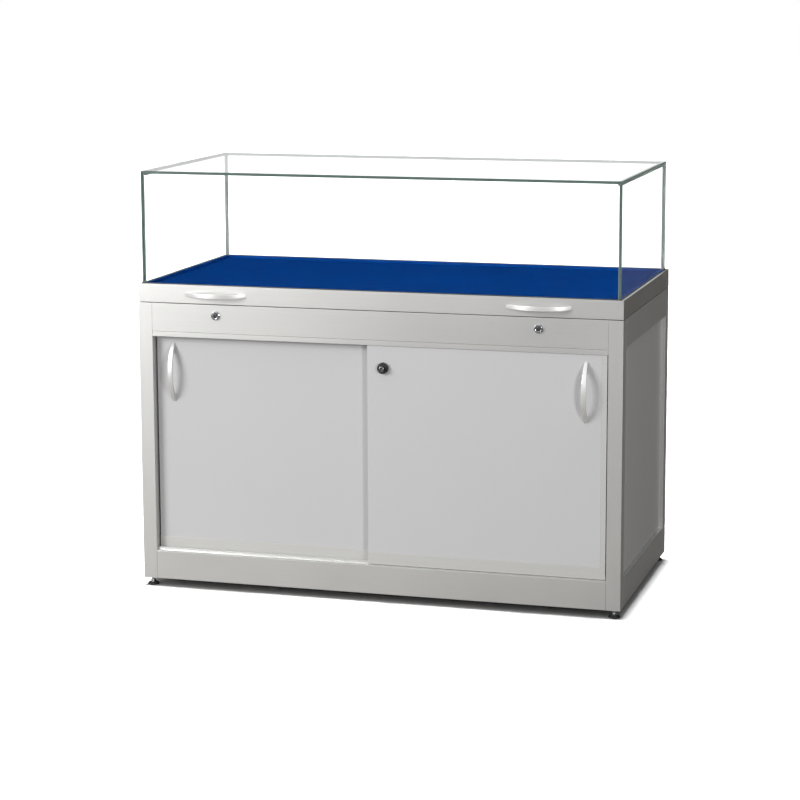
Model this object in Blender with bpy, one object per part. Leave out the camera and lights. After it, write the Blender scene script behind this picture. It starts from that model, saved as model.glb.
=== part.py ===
"""Glass display showcase: a lift-up glass hood over a cloth-covered deck, on an aluminium-framed
cupboard with two sliding doors.

Metres, +Z up. The front faces -Y and the origin is under the middle of the bounding box, on the floor.
"""

import math

import bmesh
import bpy
from mathutils import Vector

# ---- overall sizes ----
WIDTH = 1.200
DEPTH = 0.600
FOOT_HEIGHT = 0.020
BASE_HEIGHT = 0.690
SEAM_GAP = 0.0015
HOOD_RAIL_HEIGHT = 0.0445
GLASS_HEIGHT = 0.274  # from the top of the hood rail to the top of the glass

# ---- clearances ----
GAP = 0.0003  # between pieces that touch
RUNNING_GAP = 0.0003  # round a shaft in its hole
DECK_CLEARANCE = 0.0025  # between the hood rails and the deck inside them
OVERSHOOT = 0.002  # how far a cutter passes the face it cuts

# ---- extrusions ----
POST_SIZE = 0.035
WALL = 0.002
EDGE_RADIUS = 0.0008
TOP_RAIL_HEIGHT = 0.070
BOTTOM_RAIL_HEIGHT = 0.070
TOP_SIDE_RAIL_DEPTH = 0.020
BOTTOM_SIDE_RAIL_SETBACK = 0.005  # side rails are this much shallower than a post
FLOOR_LEDGE = 0.011  # of the front bottom rail behind the door track
HOOD_RAIL_DEPTH = 0.020

# ---- panels ----
PANEL_RECESS = 0.010
PANEL_THICKNESS = 0.009
FLOOR_THICKNESS = 0.012
DECK_THICKNESS = 0.012
DECK_DROP = 0.0045  # cloth surface below the top of the hood rails
CLOTH_THICKNESS = 0.0012
BATTEN_MARGIN = 0.001  # from the batten to the inner edge of the rail under it

# ---- glass ----
GLASS_THICKNESS = 0.006
GLASS_INSET = 0.009
GROOVE_DEPTH = 0.010

# ---- sliding doors ----
TRACK_HEIGHT = 0.012
TRACK_WEB = 0.002
TRACK_LEG = 0.0014
TRACK_MARGIN = 0.0022  # behind the rear door
DOOR_THICKNESS = 0.015
SHOE_WALL = 0.0008
SHOE_HEIGHT = 0.030
SHOE_FOOT = 0.009
SHOE_LIFT = 0.001  # shoe above the track's plate
DOOR_FRONT_SETBACK = 0.0022
DOOR_SPACE = 0.0022  # between the two doors
DOOR_LAP = 0.016  # of each door past the middle and its side gap
DOOR_SIDE_GAP = 0.0025
DOOR_TOP_GAP = 0.0015
RIB_WIDTH = 0.003
RIB_HEIGHT = 0.006
RIB_CLEARANCE = 0.0006
EDGE_TRIM_WIDTH = 0.012

# ---- handles ----
HANDLE_REACH = 0.028
HANDLE_THICKNESS = 0.005
HANDLE_WIDTH = 0.011
HANDLE_END_WIDTH = 0.007
HANDLE_FOOT = 0.014
HANDLE_ROUNDING = 0.0009
HANDLE_BOW_POWER = 2.4  # 2 is a round bow; higher is flatter in the middle
HOOD_HANDLE_LENGTH = 0.158
DOOR_HANDLE_LENGTH = 0.146
DOOR_HANDLE_EDGE = 0.043  # from the door's outer edge, left door
DOOR_HANDLE_EDGE_RIGHT = 0.050
DOOR_HANDLE_DROP = 0.0985  # its middle below the door's top

# ---- hood locks ----
LOCK_INSET = 0.200  # from each end of the showcase; the hood handles sit above them
LOCK_DROP = 0.026
LOCK_FLANGE_RADIUS = 0.0115
LOCK_FLANGE_REACH = 0.005
LOCK_BARREL_RADIUS = 0.008
LOCK_BARREL_LENGTH = 0.009
PLUG_RADIUS = 0.005
PLUG_REACH = 0.0065
PLUG_HUB_RADIUS = 0.007
KEY_SLOT = (0.0014, 0.0060, 0.0030)  # width, height, depth
CAM_BEHIND_BARREL = 0.0015
CAM_THICKNESS = 0.002
CAM_WIDTH = 0.010
CAM_LENGTH = 0.020
CAM_ROUNDING = 0.004
KEEPER_OFFSET = 0.010  # nearest side of the keeper to the lock's axis
KEEPER_THICKNESS = 0.002
KEEPER_TAB = 0.008
KEEPER_CLEARANCE = 0.0006
KEEPER_SLOT_MARGIN = 0.0022

# ---- push lock of the right door ----
DOOR_LOCK_EDGE = 0.040  # from the door's inner edge
DOOR_LOCK_DROP = 0.0625  # below the door's top
DOOR_LOCK_FLANGE_RADIUS = 0.0135
DOOR_LOCK_FLANGE_REACH = 0.008
DOOR_LOCK_BARREL_RADIUS = 0.009
DOOR_LOCK_PLUNGER_RADIUS = 0.006
DOOR_LOCK_PIN_RADIUS = 0.0035
DOOR_LOCK_SEAT = 0.004
DOOR_LOCK_PROUD = 0.009
DOOR_LOCK_PIN_SHORT = 0.005

# ---- levelling feet ----
PAD_RADIUS = 0.014
PAD_HEIGHT = 0.008
NUT_RADIUS = 0.0075
NUT_HEIGHT = 0.004
STEM_RADIUS = 0.004
STEM_LENGTH = 0.028  # above the underside of the post
FOOT_TRAVEL = 0.008
POST_END_BLOCK = 0.046

# ---- rear hinge ----
LEAF_THICKNESS = 0.0015
LEAF_HEIGHT = 0.026
KNUCKLE_RADIUS = 0.0035
PIN_RADIUS = 0.0015
HINGE_OFFSET = 0.004  # axis behind the rear face
HINGE_SIDE_INSET = 0.060
KNUCKLE_COUNT = 11
KNUCKLE_SPACE = 0.0008

# ---- gas struts, from the hinge axis: forward and up are positive ----
STRUT_CLEARANCE = 0.0007  # between the strut and what it hangs beside
STRUT_LOWER = (0.0720, -0.1426)
STRUT_UPPER = (0.1575, 0.0110)
STRUT_TUBE_RADIUS = 0.009
STRUT_TUBE_BORE = 0.0075
STRUT_ROD_RADIUS = 0.004
STRUT_PISTON_RADIUS = 0.0072
STRUT_PISTON_LENGTH = 0.008
STRUT_EYE_WIDTH = 0.007
STRUT_LOWER_EYE_RADIUS = 0.007
STRUT_UPPER_EYE_RADIUS = 0.0103
STRUT_UPPER_EYE_PLAY = 0.0041  # the open pivot of the linkage
STRUT_GLAND = 0.010
STRUT_STEP = 0.002  # tube wall at its foot, and the end play of the rod
STUD_RADIUS = 0.003
STUD_HEAD = 0.002
STUD_HEAD_LAP = 0.0016  # of the head over the eye's bore
BRACKET_THICKNESS = 0.003
BRACKET_WIDTH = 0.028
BRACKET_LOWER_HEIGHT = 0.040
BRACKET_UPPER_HEIGHT = 0.018
NOTCH_CLEARANCE = 0.012  # of the deck's notch inward of the strut
NOTCH_REAR_START = 0.007  # forward of the lower pivot
NOTCH_FRONT_END = 0.0175  # forward of the upper pivot

# ---- places that follow from the sizes ----
HINGE_OVERHANG = HINGE_OFFSET + KNUCKLE_RADIUS
FRONT = -(DEPTH + HANDLE_REACH + HINGE_OVERHANG) / 2 + HANDLE_REACH
REAR = FRONT + DEPTH
SIDE = WIDTH / 2
BASE_TOP = FOOT_HEIGHT + BASE_HEIGHT
SEAM = BASE_TOP + SEAM_GAP / 2
HOOD_BOTTOM = BASE_TOP + SEAM_GAP
HOOD_RAIL_TOP = HOOD_BOTTOM + HOOD_RAIL_HEIGHT
TOP = HOOD_RAIL_TOP + GLASS_HEIGHT
OPENING_SIDE = SIDE - POST_SIZE
RAIL_SIDE = OPENING_SIDE - GAP
FASCIA_BOTTOM = BASE_TOP - TOP_RAIL_HEIGHT + GAP
BOTTOM_RAIL_TOP = FOOT_HEIGHT + BOTTOM_RAIL_HEIGHT
PANEL_INNER = PANEL_RECESS + PANEL_THICKNESS
TRACK_TOP = BASE_TOP - TOP_RAIL_HEIGHT
TRACK_BOTTOM = TRACK_TOP - TRACK_HEIGHT
TRACK_FLOOR = BOTTOM_RAIL_TOP + GAP + TRACK_WEB
SHOE_THICKNESS = DOOR_THICKNESS + 2 * (SHOE_WALL + GAP)
DOOR_PITCH = SHOE_THICKNESS + DOOR_SPACE
TRACK_DEPTH = max(POST_SIZE, DOOR_FRONT_SETBACK + DOOR_PITCH + SHOE_THICKNESS + TRACK_MARGIN)
FASCIA_DEPTH = TRACK_DEPTH - TRACK_LEG / 2 - GAP
BOTTOM_FRONT_RAIL_DEPTH = TRACK_DEPTH + FLOOR_LEDGE
BOTTOM_SIDE_RAIL_DEPTH = POST_SIZE - BOTTOM_SIDE_RAIL_SETBACK
SHOE_BOTTOM = TRACK_FLOOR + SHOE_LIFT
DOOR_BOTTOM = SHOE_BOTTOM + SHOE_FOOT + GAP
DOOR_TOP = TRACK_TOP - TRACK_WEB - DOOR_TOP_GAP
DOOR_WIDTH = OPENING_SIDE + DOOR_LAP
DOOR_HANDLE_Z = DOOR_TOP - DOOR_HANDLE_DROP
DOOR_LOCK_Z = DOOR_TOP - DOOR_LOCK_DROP
CAM_PLANE = LOCK_BARREL_LENGTH + CAM_BEHIND_BARREL
KEEPER_WIDTH = CAM_LENGTH - KEEPER_OFFSET
LOCK_Z = BASE_TOP - LOCK_DROP
HINGE_Y = REAR + HINGE_OFFSET
DECK_TOP = HOOD_RAIL_TOP - DECK_DROP - CLOTH_THICKNESS - GAP
DECK_BOTTOM = DECK_TOP - DECK_THICKNESS
DECK_INSET = HOOD_RAIL_DEPTH + DECK_CLEARANCE
BATTEN_DEPTH = FASCIA_DEPTH - DECK_INSET - BATTEN_MARGIN
STRUT_INSET = STRUT_CLEARANCE + max(
    PANEL_INNER + GAP + BRACKET_THICKNESS + STRUT_TUBE_RADIUS,
    TOP_SIDE_RAIL_DEPTH + STRUT_TUBE_RADIUS,
    HOOD_RAIL_DEPTH + GAP + BRACKET_THICKNESS + STRUT_EYE_WIDTH / 2,
)
NOTCH_DEPTH = STRUT_INSET + NOTCH_CLEARANCE
SIDES = (("left", -1), ("right", 1))

# ---- faceting ----
CORNER_STEPS = 3
ROUND_STEPS = 24
FINE_STEPS = 32
HANDLE_STEPS = 14
KNUCKLE_STEPS = 16
HEXAGON = 6


def clear_scene():
    for obj in list(bpy.data.objects):
        bpy.data.objects.remove(obj, do_unlink=True)


def linear(channel):
    if channel <= 0.04045:
        return channel / 12.92
    return ((channel + 0.055) / 1.055) ** 2.4


def make_material(name, colour, roughness, metallic=0.0, alpha=1.0):
    """colour is an sRGB hex string."""
    values = [linear(int(colour[i : i + 2], 16) / 255) for i in (0, 2, 4)]
    made = bpy.data.materials.new(name)
    made.use_nodes = True
    made.diffuse_color = (*values, alpha)
    shader = made.node_tree.nodes["Principled BSDF"]
    shader.inputs["Base Color"].default_value = (*values, 1.0)
    shader.inputs["Roughness"].default_value = roughness
    shader.inputs["Metallic"].default_value = metallic
    shader.inputs["Alpha"].default_value = alpha
    return made


def finish_mesh(name, bm, material):
    bmesh.ops.recalc_face_normals(bm, faces=bm.faces)
    mesh = bpy.data.meshes.new(name)
    bm.to_mesh(mesh)
    bm.free()
    if material is not None:
        mesh.materials.append(material)
    obj = bpy.data.objects.new(name, mesh)
    bpy.context.scene.collection.objects.link(obj)
    return obj


def rounded_rectangle(low, high, radius=EDGE_RADIUS):
    """Corner points of a rectangle with rounded corners, counter-clockwise."""
    corners = ((high[0], high[1], 0), (low[0], high[1], 1), (low[0], low[1], 2), (high[0], low[1], 3))
    points = []
    for x, y, quarter in corners:
        centre_x = x - math.copysign(radius, x - (low[0] + high[0]) / 2)
        centre_y = y - math.copysign(radius, y - (low[1] + high[1]) / 2)
        for step in range(CORNER_STEPS):
            turn = (quarter + step / (CORNER_STEPS - 1)) * math.pi / 2
            points.append((centre_x + radius * math.cos(turn), centre_y + radius * math.sin(turn)))
    return points


def rectangle(low, high):
    return [low, (high[0], low[1]), high, (low[0], high[1])]


def prism(name, loops, axis, span, material, trim=None):
    """Outlines, the first one outer and the others holes, extruded along an axis.

    trim(u, v) shortens both ends at each outline point, which cuts a mitre.
    """
    place = {
        "X": lambda t, u, v: (t, u, v),
        "Y": lambda t, u, v: (u, t, v),
        "Z": lambda t, u, v: (u, v, t),
    }[axis]
    bm = bmesh.new()
    ends = ([], [])
    for loop in loops:
        rings = []
        for end, t in enumerate(span):
            inward = 1 if end == 0 else -1
            ring = []
            for u, v in loop:
                cut = trim(u, v) if trim else 0.0
                ring.append(bm.verts.new(place(t + inward * cut, u, v)))
            rings.append(ring)
        for i in range(len(loop)):
            j = (i + 1) % len(loop)
            bm.faces.new((rings[0][i], rings[0][j], rings[1][j], rings[1][i]))
            for end, ring in enumerate(rings):
                ends[end].append(bm.edges.get((ring[i], ring[j])))
    for edges in ends:
        bmesh.ops.triangle_fill(bm, use_beauty=True, edges=edges)
    return finish_mesh(name, bm, material)


def block(name, low, high, material):
    return prism(name, [rectangle(low[:2], high[:2])], "Z", (low[2], high[2]), material)


def turned(name, profile, material, steps=ROUND_STEPS):
    """A profile of (radius, height) points turned about local Z.

    A profile off the axis is closed by itself.
    """
    bm = bmesh.new()
    points = [bm.verts.new((radius, 0.0, height)) for radius, height in profile]
    pairs = list(zip(points, points[1:]))
    if profile[0][0] > 0:
        pairs.append((points[-1], points[0]))
    edges = [bm.edges.new(pair) for pair in pairs]
    bmesh.ops.spin(
        bm,
        geom=points + edges,
        cent=(0, 0, 0),
        axis=(0, 0, 1),
        angle=2 * math.pi,
        steps=steps,
        use_merge=True,
    )
    bmesh.ops.remove_doubles(bm, verts=bm.verts, dist=1e-6)
    obj = finish_mesh(name, bm, material)
    smooth(obj)
    return obj


def smooth(obj):
    obj.data.shade_smooth()
    obj.data.set_sharp_from_angle(angle=math.radians(35))


def rod(name, radius, start, end, material=None, steps=ROUND_STEPS):
    """A plain round bar between two points."""
    start, end = Vector(start), Vector(end)
    length = (end - start).length
    obj = turned(name, [(0, 0), (radius, 0), (radius, length), (0, length)], material, steps)
    aim(obj, start, end - start)
    return obj


def aim(obj, location, direction):
    """Puts the object's origin at location and its local Z along direction."""
    obj.location = location
    obj.rotation_mode = "QUATERNION"
    obj.rotation_quaternion = Vector((0, 0, 1)).rotation_difference(Vector(direction).normalized())


def combine(target, helper, operation):
    """Cuts a helper from the target, or joins it to the target. The helper stays out of the render."""
    helper.hide_render = True
    helper.display_type = "WIRE"
    modifier = target.modifiers.new(f"{operation.lower()}_{helper.name}", "BOOLEAN")
    modifier.operation = operation
    modifier.solver = "EXACT"
    modifier.object = helper


def cut(target, helper):
    combine(target, helper, "DIFFERENCE")


def join(target, helper):
    combine(target, helper, "UNION")


def follow(parent, *children):
    """Parents the children where they stand."""
    bpy.context.view_layer.update()
    for child in children:
        world = child.matrix_world.copy()
        child.parent = parent
        child.matrix_parent_inverse = parent.matrix_world.inverted()
        child.matrix_world = world


def pivot(name, location, children):
    """An empty on a joint's axis that carries the pieces of one moving body."""
    empty = bpy.data.objects.new(name, None)
    empty.location = location
    empty.empty_display_size = 0.05
    bpy.context.scene.collection.objects.link(empty)
    follow(empty, *children)
    return empty


def hollow(low, high):
    """Outer and inner outlines of a box-section extrusion."""
    inner_low = (low[0] + WALL, low[1] + WALL)
    inner_high = (high[0] - WALL, high[1] - WALL)
    return [rounded_rectangle(low, high), rectangle(inner_low, inner_high)]


# ---- base frame ----


def make_posts(aluminium):
    """Corner posts: tubes with a solid end block that the foot's stem screws into."""
    posts = []
    for depth_name, y in (("front", FRONT), ("rear", REAR - POST_SIZE)):
        for side_name, side in SIDES:
            x = -SIDE if side < 0 else SIDE - POST_SIZE
            outline = rounded_rectangle((x, y), (x + POST_SIZE, y + POST_SIZE))
            post = prism(
                f"post_{depth_name}_{side_name}", [outline], "Z", (FOOT_HEIGHT, BASE_TOP), aluminium
            )
            cavity = block(
                f"cut_post_cavity_{depth_name}_{side_name}",
                (x + WALL, y + WALL, FOOT_HEIGHT + POST_END_BLOCK),
                (x + POST_SIZE - WALL, y + POST_SIZE - WALL, BASE_TOP + OVERSHOOT),
                None,
            )
            cut(post, cavity)
            centre = foot_centre(side, depth_name)
            bore = rod(
                f"cut_post_bore_{depth_name}_{side_name}",
                STEM_RADIUS + RUNNING_GAP,
                (centre.x, centre.y, FOOT_HEIGHT - OVERSHOOT),
                (centre.x, centre.y, FOOT_HEIGHT + STEM_LENGTH + FOOT_TRAVEL + OVERSHOOT),
            )
            cut(post, bore)
            posts.append(post)
    return posts


def foot_centre(side, depth_name):
    y = FRONT + POST_SIZE / 2 if depth_name == "front" else REAR - POST_SIZE / 2
    return Vector((side * (SIDE - POST_SIZE / 2), y, 0))


def make_top_rails(aluminium):
    low_z, high_z = FASCIA_BOTTOM, BASE_TOP
    fascia = prism(
        "fascia_rail",
        hollow((FRONT, low_z), (FRONT + FASCIA_DEPTH, high_z)),
        "X",
        (-RAIL_SIDE, RAIL_SIDE),
        aluminium,
    )
    for name, side in SIDES:
        x = lock_x(side)
        hole = rod(
            f"cut_lock_hole_{name}",
            LOCK_BARREL_RADIUS + GAP,
            (x, FRONT - OVERSHOOT, LOCK_Z),
            (x, FRONT + WALL + OVERSHOOT, LOCK_Z),
            steps=FINE_STEPS,
        )
        cut(fascia, hole)
        margin = KEEPER_SLOT_MARGIN
        slot = block(
            f"cut_keeper_slot_{name}",
            (x + KEEPER_OFFSET - margin, FRONT + CAM_PLANE - 2 * margin, high_z - WALL - OVERSHOOT),
            (
                x + KEEPER_OFFSET + KEEPER_WIDTH + margin,
                keeper_back() + margin,
                high_z + OVERSHOOT,
            ),
            None,
        )
        cut(fascia, slot)
    rear = prism(
        "top_rail_rear",
        hollow((REAR - FASCIA_DEPTH, low_z), (REAR, high_z)),
        "X",
        (-RAIL_SIDE, RAIL_SIDE),
        aluminium,
    )
    rails = [fascia, rear]
    for name, side in SIDES:
        x = -SIDE if side < 0 else SIDE - TOP_SIDE_RAIL_DEPTH
        rails.append(
            prism(
                f"top_rail_{name}",
                hollow((x, low_z), (x + TOP_SIDE_RAIL_DEPTH, high_z)),
                "Y",
                (FRONT + POST_SIZE + GAP, REAR - POST_SIZE - GAP),
                aluminium,
            )
        )
    return rails


def make_bottom_rails(aluminium):
    low_z, high_z = FOOT_HEIGHT, BOTTOM_RAIL_TOP
    rails = []
    for name, low_y, high_y in (
        ("front", FRONT, FRONT + BOTTOM_FRONT_RAIL_DEPTH),
        ("rear", REAR - BOTTOM_SIDE_RAIL_DEPTH, REAR),
    ):
        rails.append(
            prism(
                f"bottom_rail_{name}",
                hollow((low_y, low_z), (high_y, high_z)),
                "X",
                (-RAIL_SIDE, RAIL_SIDE),
                aluminium,
            )
        )
    for name, side in SIDES:
        x = -SIDE if side < 0 else SIDE - BOTTOM_SIDE_RAIL_DEPTH
        rails.append(
            prism(
                f"bottom_rail_{name}",
                hollow((x, low_z), (x + BOTTOM_SIDE_RAIL_DEPTH, high_z)),
                "Y",
                (FRONT + POST_SIZE + GAP, REAR - POST_SIZE - GAP),
                aluminium,
            )
        )
    return rails


# ---- panels ----


def make_panels(board):
    low_z, high_z = BOTTOM_RAIL_TOP + GAP, FASCIA_BOTTOM - GAP
    panels = []
    for name, side in SIDES:
        x = side * (SIDE - PANEL_RECESS)
        inner = side * (SIDE - PANEL_INNER)
        panels.append(
            block(
                f"side_panel_{name}",
                (min(x, inner), FRONT + POST_SIZE + GAP, low_z),
                (max(x, inner), REAR - POST_SIZE - GAP, high_z),
                board,
            )
        )
    panels.append(
        block(
            "back_panel",
            (-RAIL_SIDE, REAR - PANEL_INNER, low_z),
            (RAIL_SIDE, REAR - PANEL_RECESS, high_z),
            board,
        )
    )
    wide = SIDE - PANEL_INNER - GAP
    front_y = FRONT + TRACK_DEPTH + GAP
    notch_y = REAR - POST_SIZE - GAP
    rear_y = REAR - PANEL_INNER - GAP
    outline = [
        (-wide, front_y),
        (wide, front_y),
        (wide, notch_y),
        (RAIL_SIDE, notch_y),
        (RAIL_SIDE, rear_y),
        (-RAIL_SIDE, rear_y),
        (-RAIL_SIDE, notch_y),
        (-wide, notch_y),
    ]
    floor_low = BOTTOM_RAIL_TOP + GAP
    panels.append(prism("floor_panel", [outline], "Z", (floor_low, floor_low + FLOOR_THICKNESS), board))
    return panels


def deck_span():
    return SIDE - DECK_INSET, FRONT + DECK_INSET, REAR - DECK_INSET


def make_deck(board):
    """The deck board, with a batten under its front and rear edges that stand on the rails."""
    half, front_y, rear_y = deck_span()
    foot = BASE_TOP + GAP
    outline = [
        (front_y, foot),
        (front_y + BATTEN_DEPTH, foot),
        (front_y + BATTEN_DEPTH, DECK_BOTTOM),
        (rear_y - BATTEN_DEPTH, DECK_BOTTOM),
        (rear_y - BATTEN_DEPTH, foot),
        (rear_y, foot),
        (rear_y, DECK_TOP),
        (front_y, DECK_TOP),
    ]
    deck = prism("deck_board", [outline], "X", (-half, half), board)
    for name, side in SIDES:
        cut(deck, strut_notch(f"cut_deck_notch_{name}", side))
    return deck


def strut_notch(name, side):
    inner, outer = side * (SIDE - NOTCH_DEPTH), side * SIDE
    front_y = HINGE_Y - STRUT_UPPER[0] - NOTCH_FRONT_END
    rear_y = HINGE_Y - STRUT_LOWER[0] - NOTCH_REAR_START
    return block(
        name,
        (min(inner, outer), front_y, DECK_BOTTOM - OVERSHOOT),
        (max(inner, outer), rear_y, HOOD_RAIL_TOP),
        None,
    )


def make_deck_cloth(fabric):
    half, front_y, rear_y = deck_span()
    low = DECK_TOP + GAP
    cloth = block("deck_cloth", (-half, front_y, low), (half, rear_y, low + CLOTH_THICKNESS), fabric)
    for name, side in SIDES:
        cut(cloth, strut_notch(f"cut_cloth_notch_{name}", side))
    return cloth


# ---- doors ----


def door_y(index):
    """Front face of a door's shoe: 0 is the front, right door and 1 the rear, left one."""
    return FRONT + DOOR_FRONT_SETBACK + index * DOOR_PITCH


def make_tracks(aluminium):
    """An E-shaped channel at the top, and at the bottom a plate with a rib under each door."""
    legs = [FRONT + GAP]
    for index in range(2):
        legs.append(door_y(index) + SHOE_THICKNESS + (DOOR_SPACE - TRACK_LEG) / 2)
    low, web, high = TRACK_BOTTOM, TRACK_TOP - TRACK_WEB, TRACK_TOP
    outline = [(legs[0], high)]
    for number, leg in enumerate(legs):
        if number:
            outline.append((leg, web))
        outline += [(leg, low), (leg + TRACK_LEG, low)]
        if number < len(legs) - 1:
            outline.append((leg + TRACK_LEG, web))
    outline.append((legs[-1] + TRACK_LEG, high))
    top = prism("door_track_top", [outline], "X", (-RAIL_SIDE, RAIL_SIDE), aluminium)
    plate = BOTTOM_RAIL_TOP + GAP
    outline = [(FRONT + GAP, plate), (FRONT + GAP, TRACK_FLOOR)]
    for index in range(2):
        centre = door_y(index) + SHOE_THICKNESS / 2
        outline += [
            (centre - RIB_WIDTH / 2, TRACK_FLOOR),
            (centre - RIB_WIDTH / 2, TRACK_FLOOR + RIB_HEIGHT),
            (centre + RIB_WIDTH / 2, TRACK_FLOOR + RIB_HEIGHT),
            (centre + RIB_WIDTH / 2, TRACK_FLOOR),
        ]
    outline += [(FRONT + TRACK_DEPTH, TRACK_FLOOR), (FRONT + TRACK_DEPTH, plate)]
    bottom = prism("door_track_bottom", [outline], "X", (-RAIL_SIDE, RAIL_SIDE), aluminium)
    return [top, bottom]


def door_span(side):
    outer = OPENING_SIDE - DOOR_SIDE_GAP
    return (-outer, DOOR_WIDTH - outer) if side < 0 else (outer - DOOR_WIDTH, outer)


def make_door(name, side, index, board, aluminium):
    """A board, standing in an aluminium shoe that is grooved to run on the track's rib."""
    low_x, high_x = door_span(side)
    shoe_y = door_y(index)
    panel_y = shoe_y + SHOE_WALL + GAP
    trim_side = side > 0
    panel_high = high_x - SHOE_WALL - GAP if trim_side else high_x
    panel = block(
        f"door_panel_{name}",
        (low_x, panel_y, DOOR_BOTTOM),
        (panel_high, panel_y + DOOR_THICKNESS, DOOR_TOP),
        board,
    )
    back_y = shoe_y + SHOE_THICKNESS
    centre = shoe_y + SHOE_THICKNESS / 2
    groove = RIB_WIDTH / 2 + RIB_CLEARANCE
    floor = SHOE_BOTTOM + SHOE_FOOT
    groove_top = TRACK_FLOOR + RIB_HEIGHT + RIB_CLEARANCE
    top = SHOE_BOTTOM + SHOE_HEIGHT
    outline = [
        (shoe_y, SHOE_BOTTOM),
        (centre - groove, SHOE_BOTTOM),
        (centre - groove, groove_top),
        (centre + groove, groove_top),
        (centre + groove, SHOE_BOTTOM),
        (back_y, SHOE_BOTTOM),
        (back_y, top),
        (back_y - SHOE_WALL, top),
        (back_y - SHOE_WALL, floor),
        (shoe_y + SHOE_WALL, floor),
        (shoe_y + SHOE_WALL, top),
        (shoe_y, top),
    ]
    shoe = prism(f"door_shoe_{name}", [outline], "X", (low_x, high_x), aluminium)
    pieces = [panel, shoe]
    if trim_side:
        pieces.append(make_edge_trim(high_x, shoe_y, top + GAP, aluminium))
    return pieces


def make_edge_trim(high_x, shoe_y, low_z, aluminium):
    """A channel over the right door's outer edge, from the shoe to the door's top."""
    back_y = shoe_y + SHOE_THICKNESS
    low_x = high_x - EDGE_TRIM_WIDTH
    outline = [
        (low_x, shoe_y),
        (high_x, shoe_y),
        (high_x, back_y),
        (low_x, back_y),
        (low_x, back_y - SHOE_WALL),
        (high_x - SHOE_WALL, back_y - SHOE_WALL),
        (high_x - SHOE_WALL, shoe_y + SHOE_WALL),
        (low_x, shoe_y + SHOE_WALL),
    ]
    return prism("door_edge_trim_right", [outline], "Z", (low_z, DOOR_TOP), aluminium)


def make_handle(name, length, material):
    """A bow handle: it lies along local X, stands out along local -Y, and is widest at its middle."""
    bm = bmesh.new()
    rings = []
    inner_length = length - 2 * HANDLE_FOOT
    for step in range(HANDLE_STEPS + 1):
        turn = math.pi * step / HANDLE_STEPS
        along = -math.cos(turn)
        rise = 1 - abs(along) ** HANDLE_BOW_POWER
        half = (HANDLE_END_WIDTH + (HANDLE_WIDTH - HANDLE_END_WIDTH) * math.sin(turn)) / 2
        outer = (along * length / 2, -GAP - (HANDLE_REACH - GAP) * rise)
        inner = (along * inner_length / 2, -GAP - (HANDLE_REACH - HANDLE_THICKNESS - GAP) * rise)
        corners = ((outer, half), (outer, -half), (inner, -half), (inner, half))
        rings.append([bm.verts.new((x, y, z)) for (x, y), z in corners])
    for ring, following in zip(rings, rings[1:]):
        for i in range(4):
            j = (i + 1) % 4
            bm.faces.new((ring[i], ring[j], following[j], following[i]))
    bm.faces.new(rings[0])
    bm.faces.new(rings[-1])
    obj = finish_mesh(name, bm, material)
    modifier = obj.modifiers.new("rounding", "BEVEL")
    modifier.width = HANDLE_ROUNDING
    modifier.segments = 2
    modifier.limit_method = "ANGLE"
    modifier.angle_limit = math.radians(50)
    obj.data.shade_smooth()
    return obj


def make_door_handle(name, side, index, satin):
    low_x, high_x = door_span(side)
    x = low_x + DOOR_HANDLE_EDGE if side < 0 else high_x - DOOR_HANDLE_EDGE_RIGHT
    handle = make_handle(f"door_handle_{name}", DOOR_HANDLE_LENGTH, satin)
    handle.rotation_euler = (0, math.pi / 2, 0)
    handle.location = (x, door_y(index) + SHOE_WALL + GAP, DOOR_HANDLE_Z)
    return handle


def make_door_lock(panel, black, steel):
    """The push lock: a body through the right door and the plunger that is pushed to lock."""
    x = door_span(1)[0] + DOOR_LOCK_EDGE
    face = door_y(0) + SHOE_WALL + GAP
    inward = Vector((0, 1, 0))
    hole = rod(
        "cut_door_lock_hole",
        DOOR_LOCK_BARREL_RADIUS + GAP,
        (x, face - OVERSHOOT, DOOR_LOCK_Z),
        (x, face + DOOR_THICKNESS + OVERSHOOT, DOOR_LOCK_Z),
        steps=FINE_STEPS,
    )
    cut(panel, hole)
    bore = DOOR_LOCK_PLUNGER_RADIUS + RUNNING_GAP
    pin_bore = DOOR_LOCK_PIN_RADIUS + RUNNING_GAP
    seat = DOOR_THICKNESS - DOOR_LOCK_SEAT
    chamfer = EDGE_RADIUS
    body = turned(
        "door_lock_body",
        [
            (bore, -DOOR_LOCK_FLANGE_REACH),
            (DOOR_LOCK_FLANGE_RADIUS - chamfer, -DOOR_LOCK_FLANGE_REACH),
            (DOOR_LOCK_FLANGE_RADIUS, -DOOR_LOCK_FLANGE_REACH + chamfer),
            (DOOR_LOCK_FLANGE_RADIUS, -GAP),
            (DOOR_LOCK_BARREL_RADIUS, -GAP),
            (DOOR_LOCK_BARREL_RADIUS, DOOR_THICKNESS),
            (pin_bore, DOOR_THICKNESS),
            (pin_bore, seat),
            (bore, seat),
        ],
        black,
        FINE_STEPS,
    )
    aim(body, (x, face, DOOR_LOCK_Z), inward)
    front = -DOOR_LOCK_FLANGE_REACH - DOOR_LOCK_PROUD
    shoulder = seat - DOOR_LOCK_PROUD
    plunger = turned(
        "door_lock_plunger",
        [
            (0, front),
            (DOOR_LOCK_PLUNGER_RADIUS - chamfer, front),
            (DOOR_LOCK_PLUNGER_RADIUS, front + chamfer),
            (DOOR_LOCK_PLUNGER_RADIUS, shoulder),
            (DOOR_LOCK_PIN_RADIUS, shoulder),
            (DOOR_LOCK_PIN_RADIUS, DOOR_THICKNESS - DOOR_LOCK_PIN_SHORT),
            (0, DOOR_THICKNESS - DOOR_LOCK_PIN_SHORT),
        ],
        steel,
        FINE_STEPS,
    )
    aim(plunger, (x, face, DOOR_LOCK_Z), inward)
    key_slot("cut_door_key_slot", plunger, (x, face + front, DOOR_LOCK_Z))
    return body, plunger


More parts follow.
